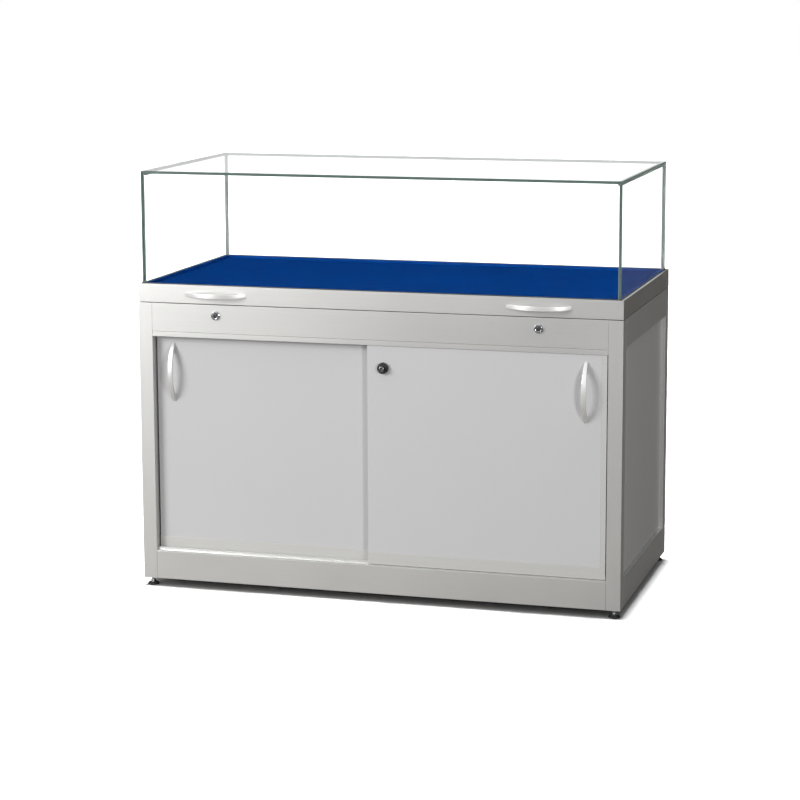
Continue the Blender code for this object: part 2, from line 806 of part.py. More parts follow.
def key_slot(name, target, face_centre):
    width, height, depth = KEY_SLOT
    x, y, z = face_centre
    low = (x - width / 2, y - depth, z - height / 2)
    high = (x + width / 2, y + depth, z + height / 2)
    slot = block(name, low, high, None)
    cut(target, slot)
    follow(target, slot)


# ---- hood ----


def make_hood_rails(aluminium):
    """Four mitred rails: a chamber below and a groove in the top that the panes stand in."""
    rails = []
    groove_low = GLASS_INSET - GAP
    groove_high = GLASS_INSET + GLASS_THICKNESS + GAP
    groove_z = HOOD_RAIL_TOP - GROOVE_DEPTH
    for name, axis, face, inward in (
        ("front", "X", FRONT, 1),
        ("rear", "X", REAR, -1),
        ("left", "Y", -SIDE, 1),
        ("right", "Y", SIDE, -1),
    ):
        span = (-SIDE, SIDE) if axis == "X" else (FRONT, REAR)

        def across(distance, z, face=face, inward=inward):
            return (face + inward * distance, z)

        radius = EDGE_RADIUS
        nip = radius * (1 - math.sqrt(0.5))
        outline = [
            across(radius, HOOD_BOTTOM),
            across(HOOD_RAIL_DEPTH, HOOD_BOTTOM),
            across(HOOD_RAIL_DEPTH, HOOD_RAIL_TOP),
            across(groove_high, HOOD_RAIL_TOP),
            across(groove_high, groove_z),
            across(groove_low, groove_z),
            across(groove_low, HOOD_RAIL_TOP),
            across(radius, HOOD_RAIL_TOP),
            across(nip, HOOD_RAIL_TOP - nip),
            across(0, HOOD_RAIL_TOP - radius),
            across(0, HOOD_BOTTOM + radius),
            across(nip, HOOD_BOTTOM + nip),
        ]
        chamber = [
            across(WALL, HOOD_BOTTOM + WALL),
            across(HOOD_RAIL_DEPTH - WALL, HOOD_BOTTOM + WALL),
            across(HOOD_RAIL_DEPTH - WALL, groove_z - WALL),
            across(WALL, groove_z - WALL),
        ]

        def mitre(u, v, face=face):
            return abs(u - face) + GAP / 2 * math.sqrt(2)

        rails.append(prism(f"hood_rail_{name}", [outline, chamber], axis, span, aluminium, mitre))
    return rails


def make_glass(glass):
    """Five panes bonded at their edges; the upright ones stand in the rails' groove."""
    outer_x = SIDE - GLASS_INSET
    inner_x = outer_x - GLASS_THICKNESS
    front_y, rear_y = FRONT + GLASS_INSET, REAR - GLASS_INSET
    low_z = HOOD_RAIL_TOP - GROOVE_DEPTH + GAP
    high_z = TOP - GLASS_THICKNESS - GAP
    side_front = front_y + GLASS_THICKNESS + GAP
    side_rear = rear_y - GLASS_THICKNESS - GAP
    spans = (
        ("front", (-outer_x, front_y, low_z), (outer_x, front_y + GLASS_THICKNESS, high_z)),
        ("rear", (-outer_x, rear_y - GLASS_THICKNESS, low_z), (outer_x, rear_y, high_z)),
        ("left", (-outer_x, side_front, low_z), (-inner_x, side_rear, high_z)),
        ("right", (inner_x, side_front, low_z), (outer_x, side_rear, high_z)),
        ("top", (-outer_x, front_y, TOP - GLASS_THICKNESS), (outer_x, rear_y, TOP)),
    )
    return [block(f"glass_{name}", low, high, glass) for name, low, high in spans]


def lock_x(side):
    return side * (SIDE - LOCK_INSET)


def keeper_back():
    return FRONT + CAM_PLANE + CAM_THICKNESS + KEEPER_CLEARANCE + KEEPER_THICKNESS


def make_hood_lock(name, side, front_rail, chrome, steel):
    """A cam lock in the fascia, and the keeper that hangs from the hood's front rail behind it."""
    x = lock_x(side)
    inward = Vector((0, 1, 0))
    chamfer = EDGE_RADIUS
    bore = PLUG_RADIUS + RUNNING_GAP
    body = turned(
        f"hood_lock_body_{name}",
        [
            (bore, -LOCK_FLANGE_REACH),
            (LOCK_BARREL_RADIUS, -LOCK_FLANGE_REACH),
            (LOCK_FLANGE_RADIUS, -LOCK_FLANGE_REACH / 2),
            (LOCK_FLANGE_RADIUS, -GAP),
            (LOCK_BARREL_RADIUS, -GAP),
            (LOCK_BARREL_RADIUS, LOCK_BARREL_LENGTH),
            (bore, LOCK_BARREL_LENGTH),
        ],
        chrome,
        FINE_STEPS,
    )
    aim(body, (x, FRONT, LOCK_Z), inward)
    hub_start = LOCK_BARREL_LENGTH + RUNNING_GAP
    cam_back = CAM_PLANE + CAM_THICKNESS
    plug = turned(
        f"hood_lock_plug_{name}",
        [
            (0, -PLUG_REACH),
            (PLUG_RADIUS - chamfer, -PLUG_REACH),
            (PLUG_RADIUS, -PLUG_REACH + chamfer),
            (PLUG_RADIUS, hub_start),
            (PLUG_HUB_RADIUS, hub_start),
            (PLUG_HUB_RADIUS, cam_back),
            (0, cam_back),
        ],
        steel,
    )
    aim(plug, (x, FRONT, LOCK_Z), inward)
    cam_low = (x - CAM_WIDTH / 2, LOCK_Z)
    cam_high = (x + CAM_WIDTH / 2, LOCK_Z + CAM_LENGTH)
    cam = prism(
        f"join_cam_{name}",
        [rounded_rectangle(cam_low, cam_high, CAM_ROUNDING)],
        "Y",
        (FRONT + CAM_PLANE, FRONT + cam_back),
        None,
    )
    join(plug, cam)
    follow(plug, cam)
    key_slot(f"cut_key_slot_{name}", plug, (x, FRONT - PLUG_REACH, LOCK_Z))
    keeper = make_keeper(name, x, front_rail, steel)
    return body, plug, keeper


def make_keeper(name, x, front_rail, steel):
    """A strap behind the cam with a lip that passes forward under it."""
    back = keeper_back()
    front = back - KEEPER_THICKNESS
    lip_top = LOCK_Z - CAM_WIDTH / 2 - KEEPER_CLEARANCE
    lip_bottom = lip_top - KEEPER_THICKNESS
    strap_top = HOOD_BOTTOM + KEEPER_TAB
    lip_front = FRONT + CAM_PLANE - KEEPER_CLEARANCE
    outline = [
        (lip_front, lip_bottom),
        (back, lip_bottom),
        (back, strap_top),
        (front, strap_top),
        (front, lip_top),
        (lip_front, lip_top),
    ]
    low_x = x + KEEPER_OFFSET
    high_x = low_x + KEEPER_WIDTH
    keeper = prism(f"hood_keeper_{name}", [outline], "X", (low_x, high_x), steel)
    pocket = block(
        f"cut_keeper_pocket_{name}",
        (low_x - GAP, front - GAP, HOOD_BOTTOM - OVERSHOOT),
        (high_x + GAP, back + GAP, strap_top + GAP),
        None,
    )
    cut(front_rail, pocket)
    return keeper


# ---- rear hinge ----


def knuckle_spans():
    """(start, end) of each knuckle along X, the first on the base."""
    length = 2 * (SIDE - HINGE_SIDE_INSET)
    pitch = length / KNUCKLE_COUNT
    start = -length / 2
    spans = []
    for number in range(KNUCKLE_COUNT):
        low = start + number * pitch + KNUCKLE_SPACE / 2
        spans.append((low, low + pitch - KNUCKLE_SPACE))
    return spans


def make_leaf(name, low_z, high_z, tab_z, spans, steel):
    """A plate on the rear face with a tab and a knuckle for each span."""
    half = SIDE - HINGE_SIDE_INSET
    inner = REAR + GAP
    leaf = block(name, (-half, inner, low_z), (half, inner + LEAF_THICKNESS, high_z), steel)
    for number, (start, end) in enumerate(spans):
        tab = block(
            f"join_{name}_tab_{number}",
            (start, inner, min(tab_z, SEAM)),
            (end, inner + LEAF_THICKNESS, max(tab_z, SEAM)),
            None,
        )
        join(leaf, tab)
        knuckle = rod(
            f"join_{name}_knuckle_{number}",
            KNUCKLE_RADIUS,
            (start, HINGE_Y, SEAM),
            (end, HINGE_Y, SEAM),
            steps=KNUCKLE_STEPS,
        )
        join(leaf, knuckle)
    return leaf


def make_hinge(steel):
    """A continuous hinge. The pin is fixed in the hood's leaf and turns in the base's knuckles."""
    spans = knuckle_spans()
    clear = KNUCKLE_RADIUS + KNUCKLE_SPACE
    half = SIDE - HINGE_SIDE_INSET
    base_top = SEAM - clear
    base = make_leaf(
        "hinge_leaf_base", base_top - LEAF_HEIGHT, base_top, base_top - OVERSHOOT, spans[0::2], steel
    )
    bore = rod(
        "cut_hinge_bore",
        PIN_RADIUS + RUNNING_GAP,
        (-half - OVERSHOOT, HINGE_Y, SEAM),
        (half + OVERSHOOT, HINGE_Y, SEAM),
        steps=KNUCKLE_STEPS,
    )
    cut(base, bore)
    hood_low = SEAM + clear
    hood = make_leaf(
        "hinge_leaf_hood", hood_low, hood_low + LEAF_HEIGHT, hood_low + OVERSHOOT, spans[1::2], steel
    )
    pin = rod(
        "join_hinge_pin", PIN_RADIUS, (-half, HINGE_Y, SEAM), (half, HINGE_Y, SEAM), steps=KNUCKLE_STEPS
    )
    join(hood, pin)
    return base, hood


# ---- gas struts ----


def strut_points(side):
    """Lower and upper pivot, and the direction from one to the other."""
    x = side * (SIDE - STRUT_INSET)
    lower = Vector((x, HINGE_Y - STRUT_LOWER[0], SEAM + STRUT_LOWER[1]))
    upper = Vector((x, HINGE_Y - STRUT_UPPER[0], SEAM + STRUT_UPPER[1]))
    return lower, upper, (upper - lower).normalized()


def add_eye(target, name, centre, radius, bore):
    half = Vector((STRUT_EYE_WIDTH / 2, 0, 0))
    eye = rod(f"join_eye_{name}", radius, centre - half, centre + half)
    join(target, eye)
    hole = rod(f"cut_eye_{name}", bore, centre - 2 * half, centre + 2 * half)
    cut(target, hole)
    follow(target, eye, hole)


def make_strut(name, side, black, steel):
    """A closed tube with an eye at its foot, and a rod with a piston inside it."""
    lower, upper, direction = strut_points(side)
    closed = (upper - lower).length
    tube_low = STRUT_LOWER_EYE_RADIUS - STRUT_STEP
    tube_high = closed - STRUT_UPPER_EYE_RADIUS - 2 * STRUT_STEP
    bore_low = STRUT_LOWER_EYE_RADIUS + 2 * STRUT_STEP
    bore_high = tube_high - STRUT_GLAND
    rod_bore = STRUT_ROD_RADIUS + RUNNING_GAP
    cylinder = turned(
        f"strut_cylinder_{name}",
        [
            (0, tube_low),
            (STRUT_EYE_WIDTH / 2, tube_low),
            (STRUT_TUBE_RADIUS, bore_low),
            (STRUT_TUBE_RADIUS, tube_high),
            (rod_bore, tube_high),
            (rod_bore, bore_high),
            (STRUT_TUBE_BORE, bore_high),
            (STRUT_TUBE_BORE, bore_low + STRUT_STEP),
            (0, bore_low + STRUT_STEP),
        ],
        black,
    )
    aim(cylinder, lower, direction)
    add_eye(cylinder, f"lower_{name}", lower, STRUT_LOWER_EYE_RADIUS, STUD_RADIUS + RUNNING_GAP)
    rod_end = closed - bore_low - 2 * STRUT_STEP
    piston = rod_end - STRUT_PISTON_LENGTH
    upper_bore = STUD_RADIUS + STRUT_UPPER_EYE_PLAY
    rod_start = (upper_bore + STRUT_UPPER_EYE_RADIUS) / 2
    slider = turned(
        f"strut_rod_{name}",
        [
            (0, rod_start),
            (STRUT_ROD_RADIUS, rod_start),
            (STRUT_ROD_RADIUS, piston),
            (STRUT_PISTON_RADIUS, piston),
            (STRUT_PISTON_RADIUS, rod_end),
            (0, rod_end),
        ],
        steel,
    )
    aim(slider, upper, -direction)
    add_eye(slider, f"upper_{name}", upper, STRUT_UPPER_EYE_RADIUS, upper_bore)
    return cylinder, slider


def make_bracket(name, side, centre, face, height, head_radius, steel):
    """A plate screwed to a wall at x = face, with a headed stud through the strut's eye."""
    inner = face - side * BRACKET_THICKNESS
    low = (min(face, inner), centre.y - BRACKET_WIDTH / 2, centre.z - height / 2)
    high = (max(face, inner), centre.y + BRACKET_WIDTH / 2, centre.z + height / 2)
    bracket = block(name, low, high, steel)
    head_x = centre.x - side * (STRUT_EYE_WIDTH / 2 + 2 * GAP)
    tip_x = head_x - side * STUD_HEAD
    root = (face - side * BRACKET_THICKNESS / 2, centre.y, centre.z)
    neck = (head_x, centre.y, centre.z)
    tip = (tip_x, centre.y, centre.z)
    stud = rod(f"join_stud_{name}", STUD_RADIUS, root, tip)
    head = rod(f"join_head_{name}", head_radius, neck, tip)
    join(bracket, stud)
    join(bracket, head)
    return bracket


def make_brackets(name, side, steel):
    lower, upper, _ = strut_points(side)
    panel_face = side * (SIDE - PANEL_INNER - GAP)
    rail_face = side * (SIDE - HOOD_RAIL_DEPTH - GAP)
    low = make_bracket(
        f"strut_bracket_lower_{name}",
        side,
        lower,
        panel_face,
        BRACKET_LOWER_HEIGHT,
        STUD_RADIUS + STUD_HEAD_LAP,
        steel,
    )
    high = make_bracket(
        f"strut_bracket_upper_{name}",
        side,
        upper,
        rail_face,
        BRACKET_UPPER_HEIGHT,
        STUD_RADIUS + STRUT_UPPER_EYE_PLAY + STUD_HEAD_LAP,
        steel,
    )
    return low, high


# ---- feet ----


def make_foot(name, centre, black):
    """A round pad, the hexagon above it and the stem that screws into the post."""
    neck = PAD_HEIGHT + NUT_HEIGHT
    sunk = PAD_HEIGHT - EDGE_RADIUS
    foot = turned(
        name,
        [
            (0, 0),
            (PAD_RADIUS - EDGE_RADIUS, 0),
            (PAD_RADIUS, EDGE_RADIUS),
            (PAD_RADIUS, PAD_HEIGHT / 2),
            (NUT_RADIUS, PAD_HEIGHT),
            (STEM_RADIUS, PAD_HEIGHT),
            (STEM_RADIUS, FOOT_HEIGHT + STEM_LENGTH),
            (0, FOOT_HEIGHT + STEM_LENGTH),
        ],
        black,
    )
    nut = turned(
        f"join_nut_{name}",
        [(0, sunk), (NUT_RADIUS, sunk), (NUT_RADIUS, neck), (0, neck)],
        None,
        HEXAGON,
    )
    foot.location = centre
    nut.location = centre
    join(foot, nut)
    follow(foot, nut)
    return foot


def build():
    clear_scene()
    aluminium = make_material("anodised_aluminium", "d6d7d6", 0.35, 0.9)
    side_board = make_material("grey_laminate_board", "c4c5c5", 0.55)
    door_board = make_material("light_grey_door_board", "d0d1d2", 0.5)
    deck_wood = make_material("deck_board", "a58d6c", 0.7)
    fabric = make_material("blue_display_cloth", "0c3f86", 0.9)
    glass = make_material("float_glass", "cfe0da", 0.03, 0.0, 0.25)
    satin = make_material("satin_nickel", "dededc", 0.28, 1.0)
    chrome = make_material("chrome", "d8d8d8", 0.12, 1.0)
    steel = make_material("zinc_plated_steel", "a9acad", 0.35, 1.0)
    black = make_material("black_enamel", "1c1c1d", 0.4)
    rubber = make_material("black_foot", "161616", 0.6)

    make_posts(aluminium)
    make_top_rails(aluminium)
    make_bottom_rails(aluminium)
    make_panels(side_board)
    make_deck(deck_wood)
    make_deck_cloth(fabric)
    make_tracks(aluminium)

    left_door = make_door("left", -1, 1, door_board, aluminium)
    left_door.append(make_door_handle("left", -1, 1, satin))
    right_door = make_door("right", 1, 0, door_board, aluminium)
    right_door.append(make_door_handle("right", 1, 0, satin))
    body, plunger = make_door_lock(right_door[0], black, steel)
    right_door += [body, plunger]

    hood = make_hood_rails(aluminium) + make_glass(glass)
    front_rail = hood[0]
    for name, side in SIDES:
        handle = make_handle(f"hood_handle_{name}", HOOD_HANDLE_LENGTH, satin)
        handle.location = (lock_x(side), FRONT, HOOD_BOTTOM + HOOD_RAIL_HEIGHT / 2)
        keeper = make_hood_lock(name, side, front_rail, chrome, steel)[2]
        upper_bracket = make_brackets(name, side, steel)[1]
        make_strut(name, side, black, steel)
        hood += [handle, keeper, upper_bracket]
    hood.append(make_hinge(steel)[1])

    pivot("hood_pivot", (0, HINGE_Y, SEAM), hood)
    pivot("door_left_slide", (door_span(-1)[0], door_y(1), SHOE_BOTTOM), left_door)
    pivot("door_right_slide", (door_span(1)[0], door_y(0), SHOE_BOTTOM), right_door)

    for depth_name in ("front", "rear"):
        for side_name, side in SIDES:
            make_foot(f"foot_{depth_name}_{side_name}", foot_centre(side, depth_name), rubber)


build()
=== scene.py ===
"""Looks of a glass display showcase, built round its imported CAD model.

Metres, +Z up, the front faces -Y. Each section makes one piece, or one group of like pieces.
"""

import math

import bmesh
import bpy
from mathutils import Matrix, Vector


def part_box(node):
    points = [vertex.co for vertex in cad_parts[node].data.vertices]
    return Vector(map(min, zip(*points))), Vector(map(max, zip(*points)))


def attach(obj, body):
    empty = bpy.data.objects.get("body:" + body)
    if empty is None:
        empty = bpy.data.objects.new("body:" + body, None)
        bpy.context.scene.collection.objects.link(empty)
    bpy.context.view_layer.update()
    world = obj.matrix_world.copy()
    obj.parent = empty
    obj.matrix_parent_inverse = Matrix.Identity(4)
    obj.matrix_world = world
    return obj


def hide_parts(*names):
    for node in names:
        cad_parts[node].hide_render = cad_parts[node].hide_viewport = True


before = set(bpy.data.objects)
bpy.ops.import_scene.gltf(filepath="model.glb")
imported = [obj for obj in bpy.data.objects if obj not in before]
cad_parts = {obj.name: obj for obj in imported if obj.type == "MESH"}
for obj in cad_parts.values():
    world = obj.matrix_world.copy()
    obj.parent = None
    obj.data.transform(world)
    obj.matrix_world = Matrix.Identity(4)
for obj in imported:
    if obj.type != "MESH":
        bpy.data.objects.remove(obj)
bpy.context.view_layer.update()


# ---------------------------------------------------------------------------------------------
# Studio: a long-lens camera to the right of the middle and a little above the showcase, with white
# paper all round. A large soft lamp stands at the front left, a smaller one at the front right, a
# low weak one at the left and another weak one overhead.
# ---------------------------------------------------------------------------------------------

CAMERA_PLACE = (1.6130, -5.5976, 1.5202)
CAMERA_LENS = 106.5  # millimetres
CAMERA_TURN = math.radians(16.233)  # to the left of straight ahead
CAMERA_DIP = math.radians(9.492)  # below level
CAMERA_ROLL = math.radians(0.21)
CAMERA_SHIFT = -0.05
WHITE = (1, 1, 1, 1)


def linear_colour(code):
    """Linear red, green and blue of an sRGB hex code."""
    channels = []
    for start in (0, 2, 4):
        value = int(code[start : start + 2], 16) / 255
        channels.append(value / 12.92 if value <= 0.04045 else ((value + 0.055) / 1.055) ** 2.4)
    return (*channels, 1.0)


def add_node(tree, kind, values=None, links=None, **settings):
    """One shader node: settings are its properties, values its inputs and links what feeds them."""
    node = tree.nodes.new(kind)
    for name, value in settings.items():
        setattr(node, name, value)
    for name, value in (values or {}).items():
        node.inputs[name].default_value = value
    for name, source in (links or {}).items():
        tree.links.new(source, node.inputs[name])
    return node


scene = bpy.context.scene
scene.view_settings.view_transform = "Standard"

camera_data = bpy.data.cameras.new("camera")
camera_data.lens = CAMERA_LENS
camera_data.sensor_width = 36.0
camera_data.shift_y = CAMERA_SHIFT
camera_data.clip_end = 200.0
camera = bpy.data.objects.new("camera", camera_data)
camera.location = CAMERA_PLACE
camera.rotation_euler = (math.pi / 2 - CAMERA_DIP, CAMERA_ROLL, CAMERA_TURN)
scene.collection.objects.link(camera)
scene.camera = camera

# The paper all round is white where it is looked at, and gives a softer, uneven light: more from
# the front left, less from behind and from the right, as a lit studio does.
PAPER_LIGHT_FROM = (-0.62, -0.66, 0.42)
PAPER_LIGHT = {"From Min": -0.35, "From Max": 1.0, "To Min": 0.08, "To Max": 0.75}
# What a mirror-smooth pane shows: white paper behind the showcase, a dark room round the camera.
MIRRORED_ROOM = {"From Min": -0.2, "From Max": 0.25, "To Min": 0.02, "To Max": 0.93}


def count_bounces(tree, path):
    """How often a ray has bounced off a surface. The panes it has passed don't count."""
    return add_node(
        tree,
        "ShaderNodeMath",
        links={0: path.outputs["Diffuse Depth"], 1: path.outputs["Glossy Depth"]},
        operation="ADD",
    ).outputs["Value"]


world = bpy.data.worlds.new("studio_paper")
scene.world = world
world.use_nodes = True
tree = world.node_tree
tree.nodes.clear()
direction = add_node(tree, "ShaderNodeTexCoord").outputs["Generated"]
lean = add_node(
    tree,
    "ShaderNodeVectorMath",
    values={1: PAPER_LIGHT_FROM},
    links={0: direction},
    operation="DOT_PRODUCT",
)
glow = add_node(
    tree,
    "ShaderNodeMapRange",
    values=PAPER_LIGHT,
    links={"Value": lean.outputs["Value"]},
    interpolation_type="SMOOTHSTEP",
)
# The paper is looked at by rays from the camera, and by those that have only passed panes on the
# way. The ray's kind and bounces tell this. Its full depth doesn't: that reads one higher when
# the paper is drawn than when the paper is used as a lamp.
path = add_node(tree, "ShaderNodeLightPath")
straight = add_node(
    tree,
    "ShaderNodeMath",
    links={0: path.outputs["Is Camera Ray"], 1: path.outputs["Is Transmission Ray"]},
    operation="ADD",
)
direct = add_node(
    tree,
    "ShaderNodeMath",
    values={1: 0.5},
    links={0: count_bounces(tree, path)},
    operation="LESS_THAN",
)
looked_at = add_node(
    tree,
    "ShaderNodeMath",
    links={0: straight.outputs["Value"], 1: direct.outputs["Value"]},
    operation="MULTIPLY",
    use_clamp=True,
)
seen = add_node(tree, "ShaderNodeBackground", values={"Color": WHITE, "Strength": 1.0})
light = add_node(
    tree,
    "ShaderNodeBackground",
    values={"Color": WHITE},
    links={"Strength": glow.outputs["Result"]},
)
paper = add_node(
    tree,
    "ShaderNodeMixShader",
    links={0: looked_at.outputs["Value"], 1: light.outputs[0], 2: seen.outputs[0]},
)
depth = add_node(tree, "ShaderNodeSeparateXYZ", links={0: direction})
room = add_node(
    tree, "ShaderNodeMapRange", values=MIRRORED_ROOM, links={"Value": depth.outputs["Y"]}
)
mirrored = add_node(
    tree,
    "ShaderNodeBackground",
    values={"Color": WHITE},
    links={"Strength": room.outputs["Result"]},
)
# Mirror-sharp rays read the room unless the paper is looked at. Those that pass a pane after a
# rough bounce are among them, as their kind can't be told apart.
sharp = add_node(
    tree,
    "ShaderNodeMath",
    links={0: path.outputs["Is Singular Ray"], 1: looked_at.outputs["Value"]},
    operation="SUBTRACT",
    use_clamp=True,
)
surround = add_node(
    tree,
    "ShaderNodeMixShader",
    links={0: sharp.outputs["Value"], 1: paper.outputs[0], 2: mirrored.outputs[0]},
)
add_node(tree, "ShaderNodeOutputWorld", links={"Surface": surround.outputs[0]})


def add_lamp(name, place, target, size, power):
    """A square soft lamp that faces a point."""
    data = bpy.data.lights.new(name, "AREA")
    data.shape = "SQUARE"
    data.size = size
    data.energy = power
    lamp = bpy.data.objects.new(name, data)
    lamp.location = place
    lamp.rotation_mode = "QUATERNION"
    lamp.rotation_quaternion = (Vector(target) - Vector(place)).to_track_quat("-Z", "Y")
    scene.collection.objects.link(lamp)
    return lamp


BELOW_DECK = (0.0, 0.0, 0.45)
key = add_lamp("key_lamp", place=(-3.1, -3.4, 2.3), target=BELOW_DECK, size=1.8, power=172)
strip = add_lamp(
    "left_strip_lamp", place=(-2.7, -3.7, 0.45), target=(-0.5, 0.0, 0.3), size=1.0, power=13
)
fill = add_lamp("right_fill_lamp", place=(3.7, -4.2, 1.5), target=BELOW_DECK, size=0.8, power=130)
add_lamp("top_lamp", place=(-0.4, -0.6, 3.6), target=(0.0, 0.0, 0.5), size=2.6, power=10)

# Pale studio floor. The light it throws on the showcase is painted: painted shade, as of a darker
# floor, with one painted pool of light in front, left of the middle, so that the sides stay shaded
# and the bottom rail is lit from below.
FLOOR_SIZE = 60.0
FLOOR_PALE = linear_colour("fafafa")
FLOOR_PAINTED_SHADE = linear_colour("43413f")
FLOOR_PAINTED_LIGHT = linear_colour("6a6865")
PAINTED_LIGHT_PLACE = (-0.5, -0.95, 0.0)
PAINTED_LIGHT_FADE = {"From Min": 0.35, "From Max": 1.6, "To Min": 1.0, "To Max": 0.0}
floor_paint = bpy.data.materials.new("pale_studio_floor")
floor_paint.use_nodes = True
tree = floor_paint.node_tree
path = add_node(tree, "ShaderNodeLightPath")
bounced = add_node(
    tree,
    "ShaderNodeMath",
    values={1: 0.5},
    links={0: count_bounces(tree, path)},
    operation="GREATER_THAN",
)
place = add_node(tree, "ShaderNodeTexCoord").outputs["Object"]
from_patch = add_node(
    tree,
    "ShaderNodeVectorMath",
    values={1: PAINTED_LIGHT_PLACE},
    links={0: place},
    operation="DISTANCE",
)
patch = add_node(
    tree,
    "ShaderNodeMapRange",
    values=PAINTED_LIGHT_FADE,
    links={"Value": from_patch.outputs["Value"]},
    interpolation_type="SMOOTHSTEP",
)
# The colour the floor throws on the showcase: painted shade with a painted pool of light in it.
thrown = add_node(
    tree,
    "ShaderNodeMix",
    values={6: FLOOR_PAINTED_SHADE, 7: FLOOR_PAINTED_LIGHT},
    links={0: patch.outputs["Result"]},
    data_type="RGBA",
)
paint = add_node(
    tree,
    "ShaderNodeMix",
    values={6: FLOOR_PALE},
    links={0: bounced.outputs["Value"], 7: thrown.outputs[2]},
    data_type="RGBA",
)
shader = tree.nodes["Principled BSDF"]
shader.inputs["Roughness"].default_value = 0.9
shader.inputs["Specular IOR Level"].default_value = 0.0
tree.links.new(paint.outputs[2], shader.inputs["Base Color"])

bpy.ops.object.select_all(action="DESELECT")
bpy.ops.mesh.primitive_plane_add(size=FLOOR_SIZE, location=(0, 0, 0))
floor = bpy.context.object
floor.name = "studio_floor"
floor.data.materials.append(floor_paint)

# The floor has a lamp of its own, almost straight overhead, that whitens it and leaves the gap
# under the showcase dark. The key, strip and fill lamps leave the floor out.
SUN_LEAN = (math.radians(-0.8), math.radians(-1.5), 0)
sun_data = bpy.data.lights.new("floor_lamp", "SUN")
sun_data.energy = 6.0
sun_data.angle = math.radians(4)
sun = bpy.data.objects.new("floor_lamp", sun_data)
sun.rotation_euler = SUN_LEAN
scene.collection.objects.link(sun)
lit_floor = bpy.data.collections.new("lit_by_floor_lamp")
lit_floor.objects.link(floor)
sun.light_linking.receiver_collection = lit_floor
left_out = bpy.data.collections.new("left_out_by_front_lamps")


def leave_out(obj):
    """Keeps the light of the key, strip and fill lamps off an object."""
    left_out.objects.link(obj)
    left_out.collection_objects[-1].light_linking.link_state = "EXCLUDE"


leave_out(floor)
for lamp in (key, strip, fill):
    lamp.light_linking.receiver_collection = left_out


# ---------------------------------------------------------------------------------------------
# Frame of the cabinet: four square posts and eight rails, the broad fascia among them, of satin
# anodised aluminium extrusion, sawn to length and screwed together from inside, so only fine butt
# joints show.
# ---------------------------------------------------------------------------------------------

CORNERS = ("front_left", "front_right", "rear_left", "rear_right")
EXTRUSION_EDGE = 0.0006
DIE_LINE_LENGTH = 0.35  # how far one drawn line runs along the bar
DIE_LINE_PITCH = 0.0016  # the real lines are finer, and would only flicker at this distance


def make_surface(
    name,
    colour,
    other,
    roughness,
    rough_change=0.06,
    metallic=0.0,
    grain=(1000, 1000, 1000),
    relief=0.00002,
    patches=5.0,
    worn=None,
    coat=0.0,
    specular=0.5,
):
    """A finish of two near colours: patches of handling marks, a fine grain and its relief.

    grain is the grain's pitch per metre along each axis, relief its height in metres, and worn
    the colour that rubbed edges take.
    """
    material = bpy.data.materials.new(name)
    material.use_nodes = True
    tree = material.node_tree
    shader = tree.nodes["Principled BSDF"]
    shader.inputs["Metallic"].default_value = metallic
    shader.inputs["Coat Weight"].default_value = coat
    if not metallic:
        shader.inputs["Specular IOR Level"].default_value = specular
    place = add_node(tree, "ShaderNodeTexCoord").outputs["Object"]
    stretched = add_node(
        tree, "ShaderNodeMapping", values={"Scale": grain}, links={"Vector": place}
    ).outputs["Vector"]
    fine = add_node(
        tree,
        "ShaderNodeTexNoise",
        values={"Scale": 1.0, "Detail": 3.0, "Roughness": 0.6},
        links={"Vector": stretched},
    ).outputs["Fac"]
    broad = add_node(
        tree,
        "ShaderNodeTexNoise",
        values={"Scale": patches, "Detail": 4.0, "Roughness": 0.55},
        links={"Vector": place},
    ).outputs["Fac"]
    half_broad = add_node(
        tree, "ShaderNodeMath", values={1: 0.5}, links={0: broad}, operation="MULTIPLY"
    ).outputs["Value"]
    both = add_node(
        tree,
        "ShaderNodeMath",
        values={1: 0.5},
        links={0: fine, 2: half_broad},
        operation="MULTIPLY_ADD",
    ).outputs["Value"]
    spread = add_node(
        tree,
        "ShaderNodeMapRange",
        values={"From Min": 0.32, "From Max": 0.68},
        links={"Value": both},
    ).outputs["Result"]
    paint = add_node(
        tree,
        "ShaderNodeMix",
        values={6: linear_colour(colour), 7: linear_colour(other)},
        links={0: spread},
        data_type="RGBA",
    ).outputs[2]
    if worn:
        sharpness = add_node(tree, "ShaderNodeNewGeometry").outputs["Pointiness"]
        edge = add_node(
            tree,
            "ShaderNodeMapRange",
            values={"From Min": 0.52, "From Max": 0.62, "To Max": 0.7},
            links={"Value": sharpness},
        ).outputs["Result"]
        paint = add_node(
            tree,
            "ShaderNodeMix",
            values={7: linear_colour(worn)},
            links={0: edge, 6: paint},
            data_type="RGBA",
        ).outputs[2]
    tree.links.new(paint, shader.inputs["Base Color"])
    rough = add_node(
        tree,
        "ShaderNodeMapRange",
        values={
            "From Min": 0.3,
            "From Max": 0.7,
            "To Min": roughness - rough_change,
            "To Max": roughness + rough_change,
        },
        links={"Value": both},
    ).outputs["Result"]
    tree.links.new(rough, shader.inputs["Roughness"])
    bump = add_node(
        tree,
        "ShaderNodeBump",
        values={"Strength": 1.0, "Distance": relief},
        links={"Height": fine},
    ).outputs["Normal"]
    tree.links.new(bump, shader.inputs["Normal"])
    return material


DOUBLE_POINTS = 1e-6  # points nearer than this are one point
FLAT_ANGLE = math.radians(0.4)
EDGE_ANGLE = math.radians(32)


def only(obj):
    """Leaves edit mode and makes this the one selected, active object."""
    if bpy.context.mode != "OBJECT":
        bpy.ops.object.mode_set(mode="OBJECT")
    bpy.ops.object.select_all(action="DESELECT")
    obj.select_set(True)
    bpy.context.view_layer.objects.active = obj


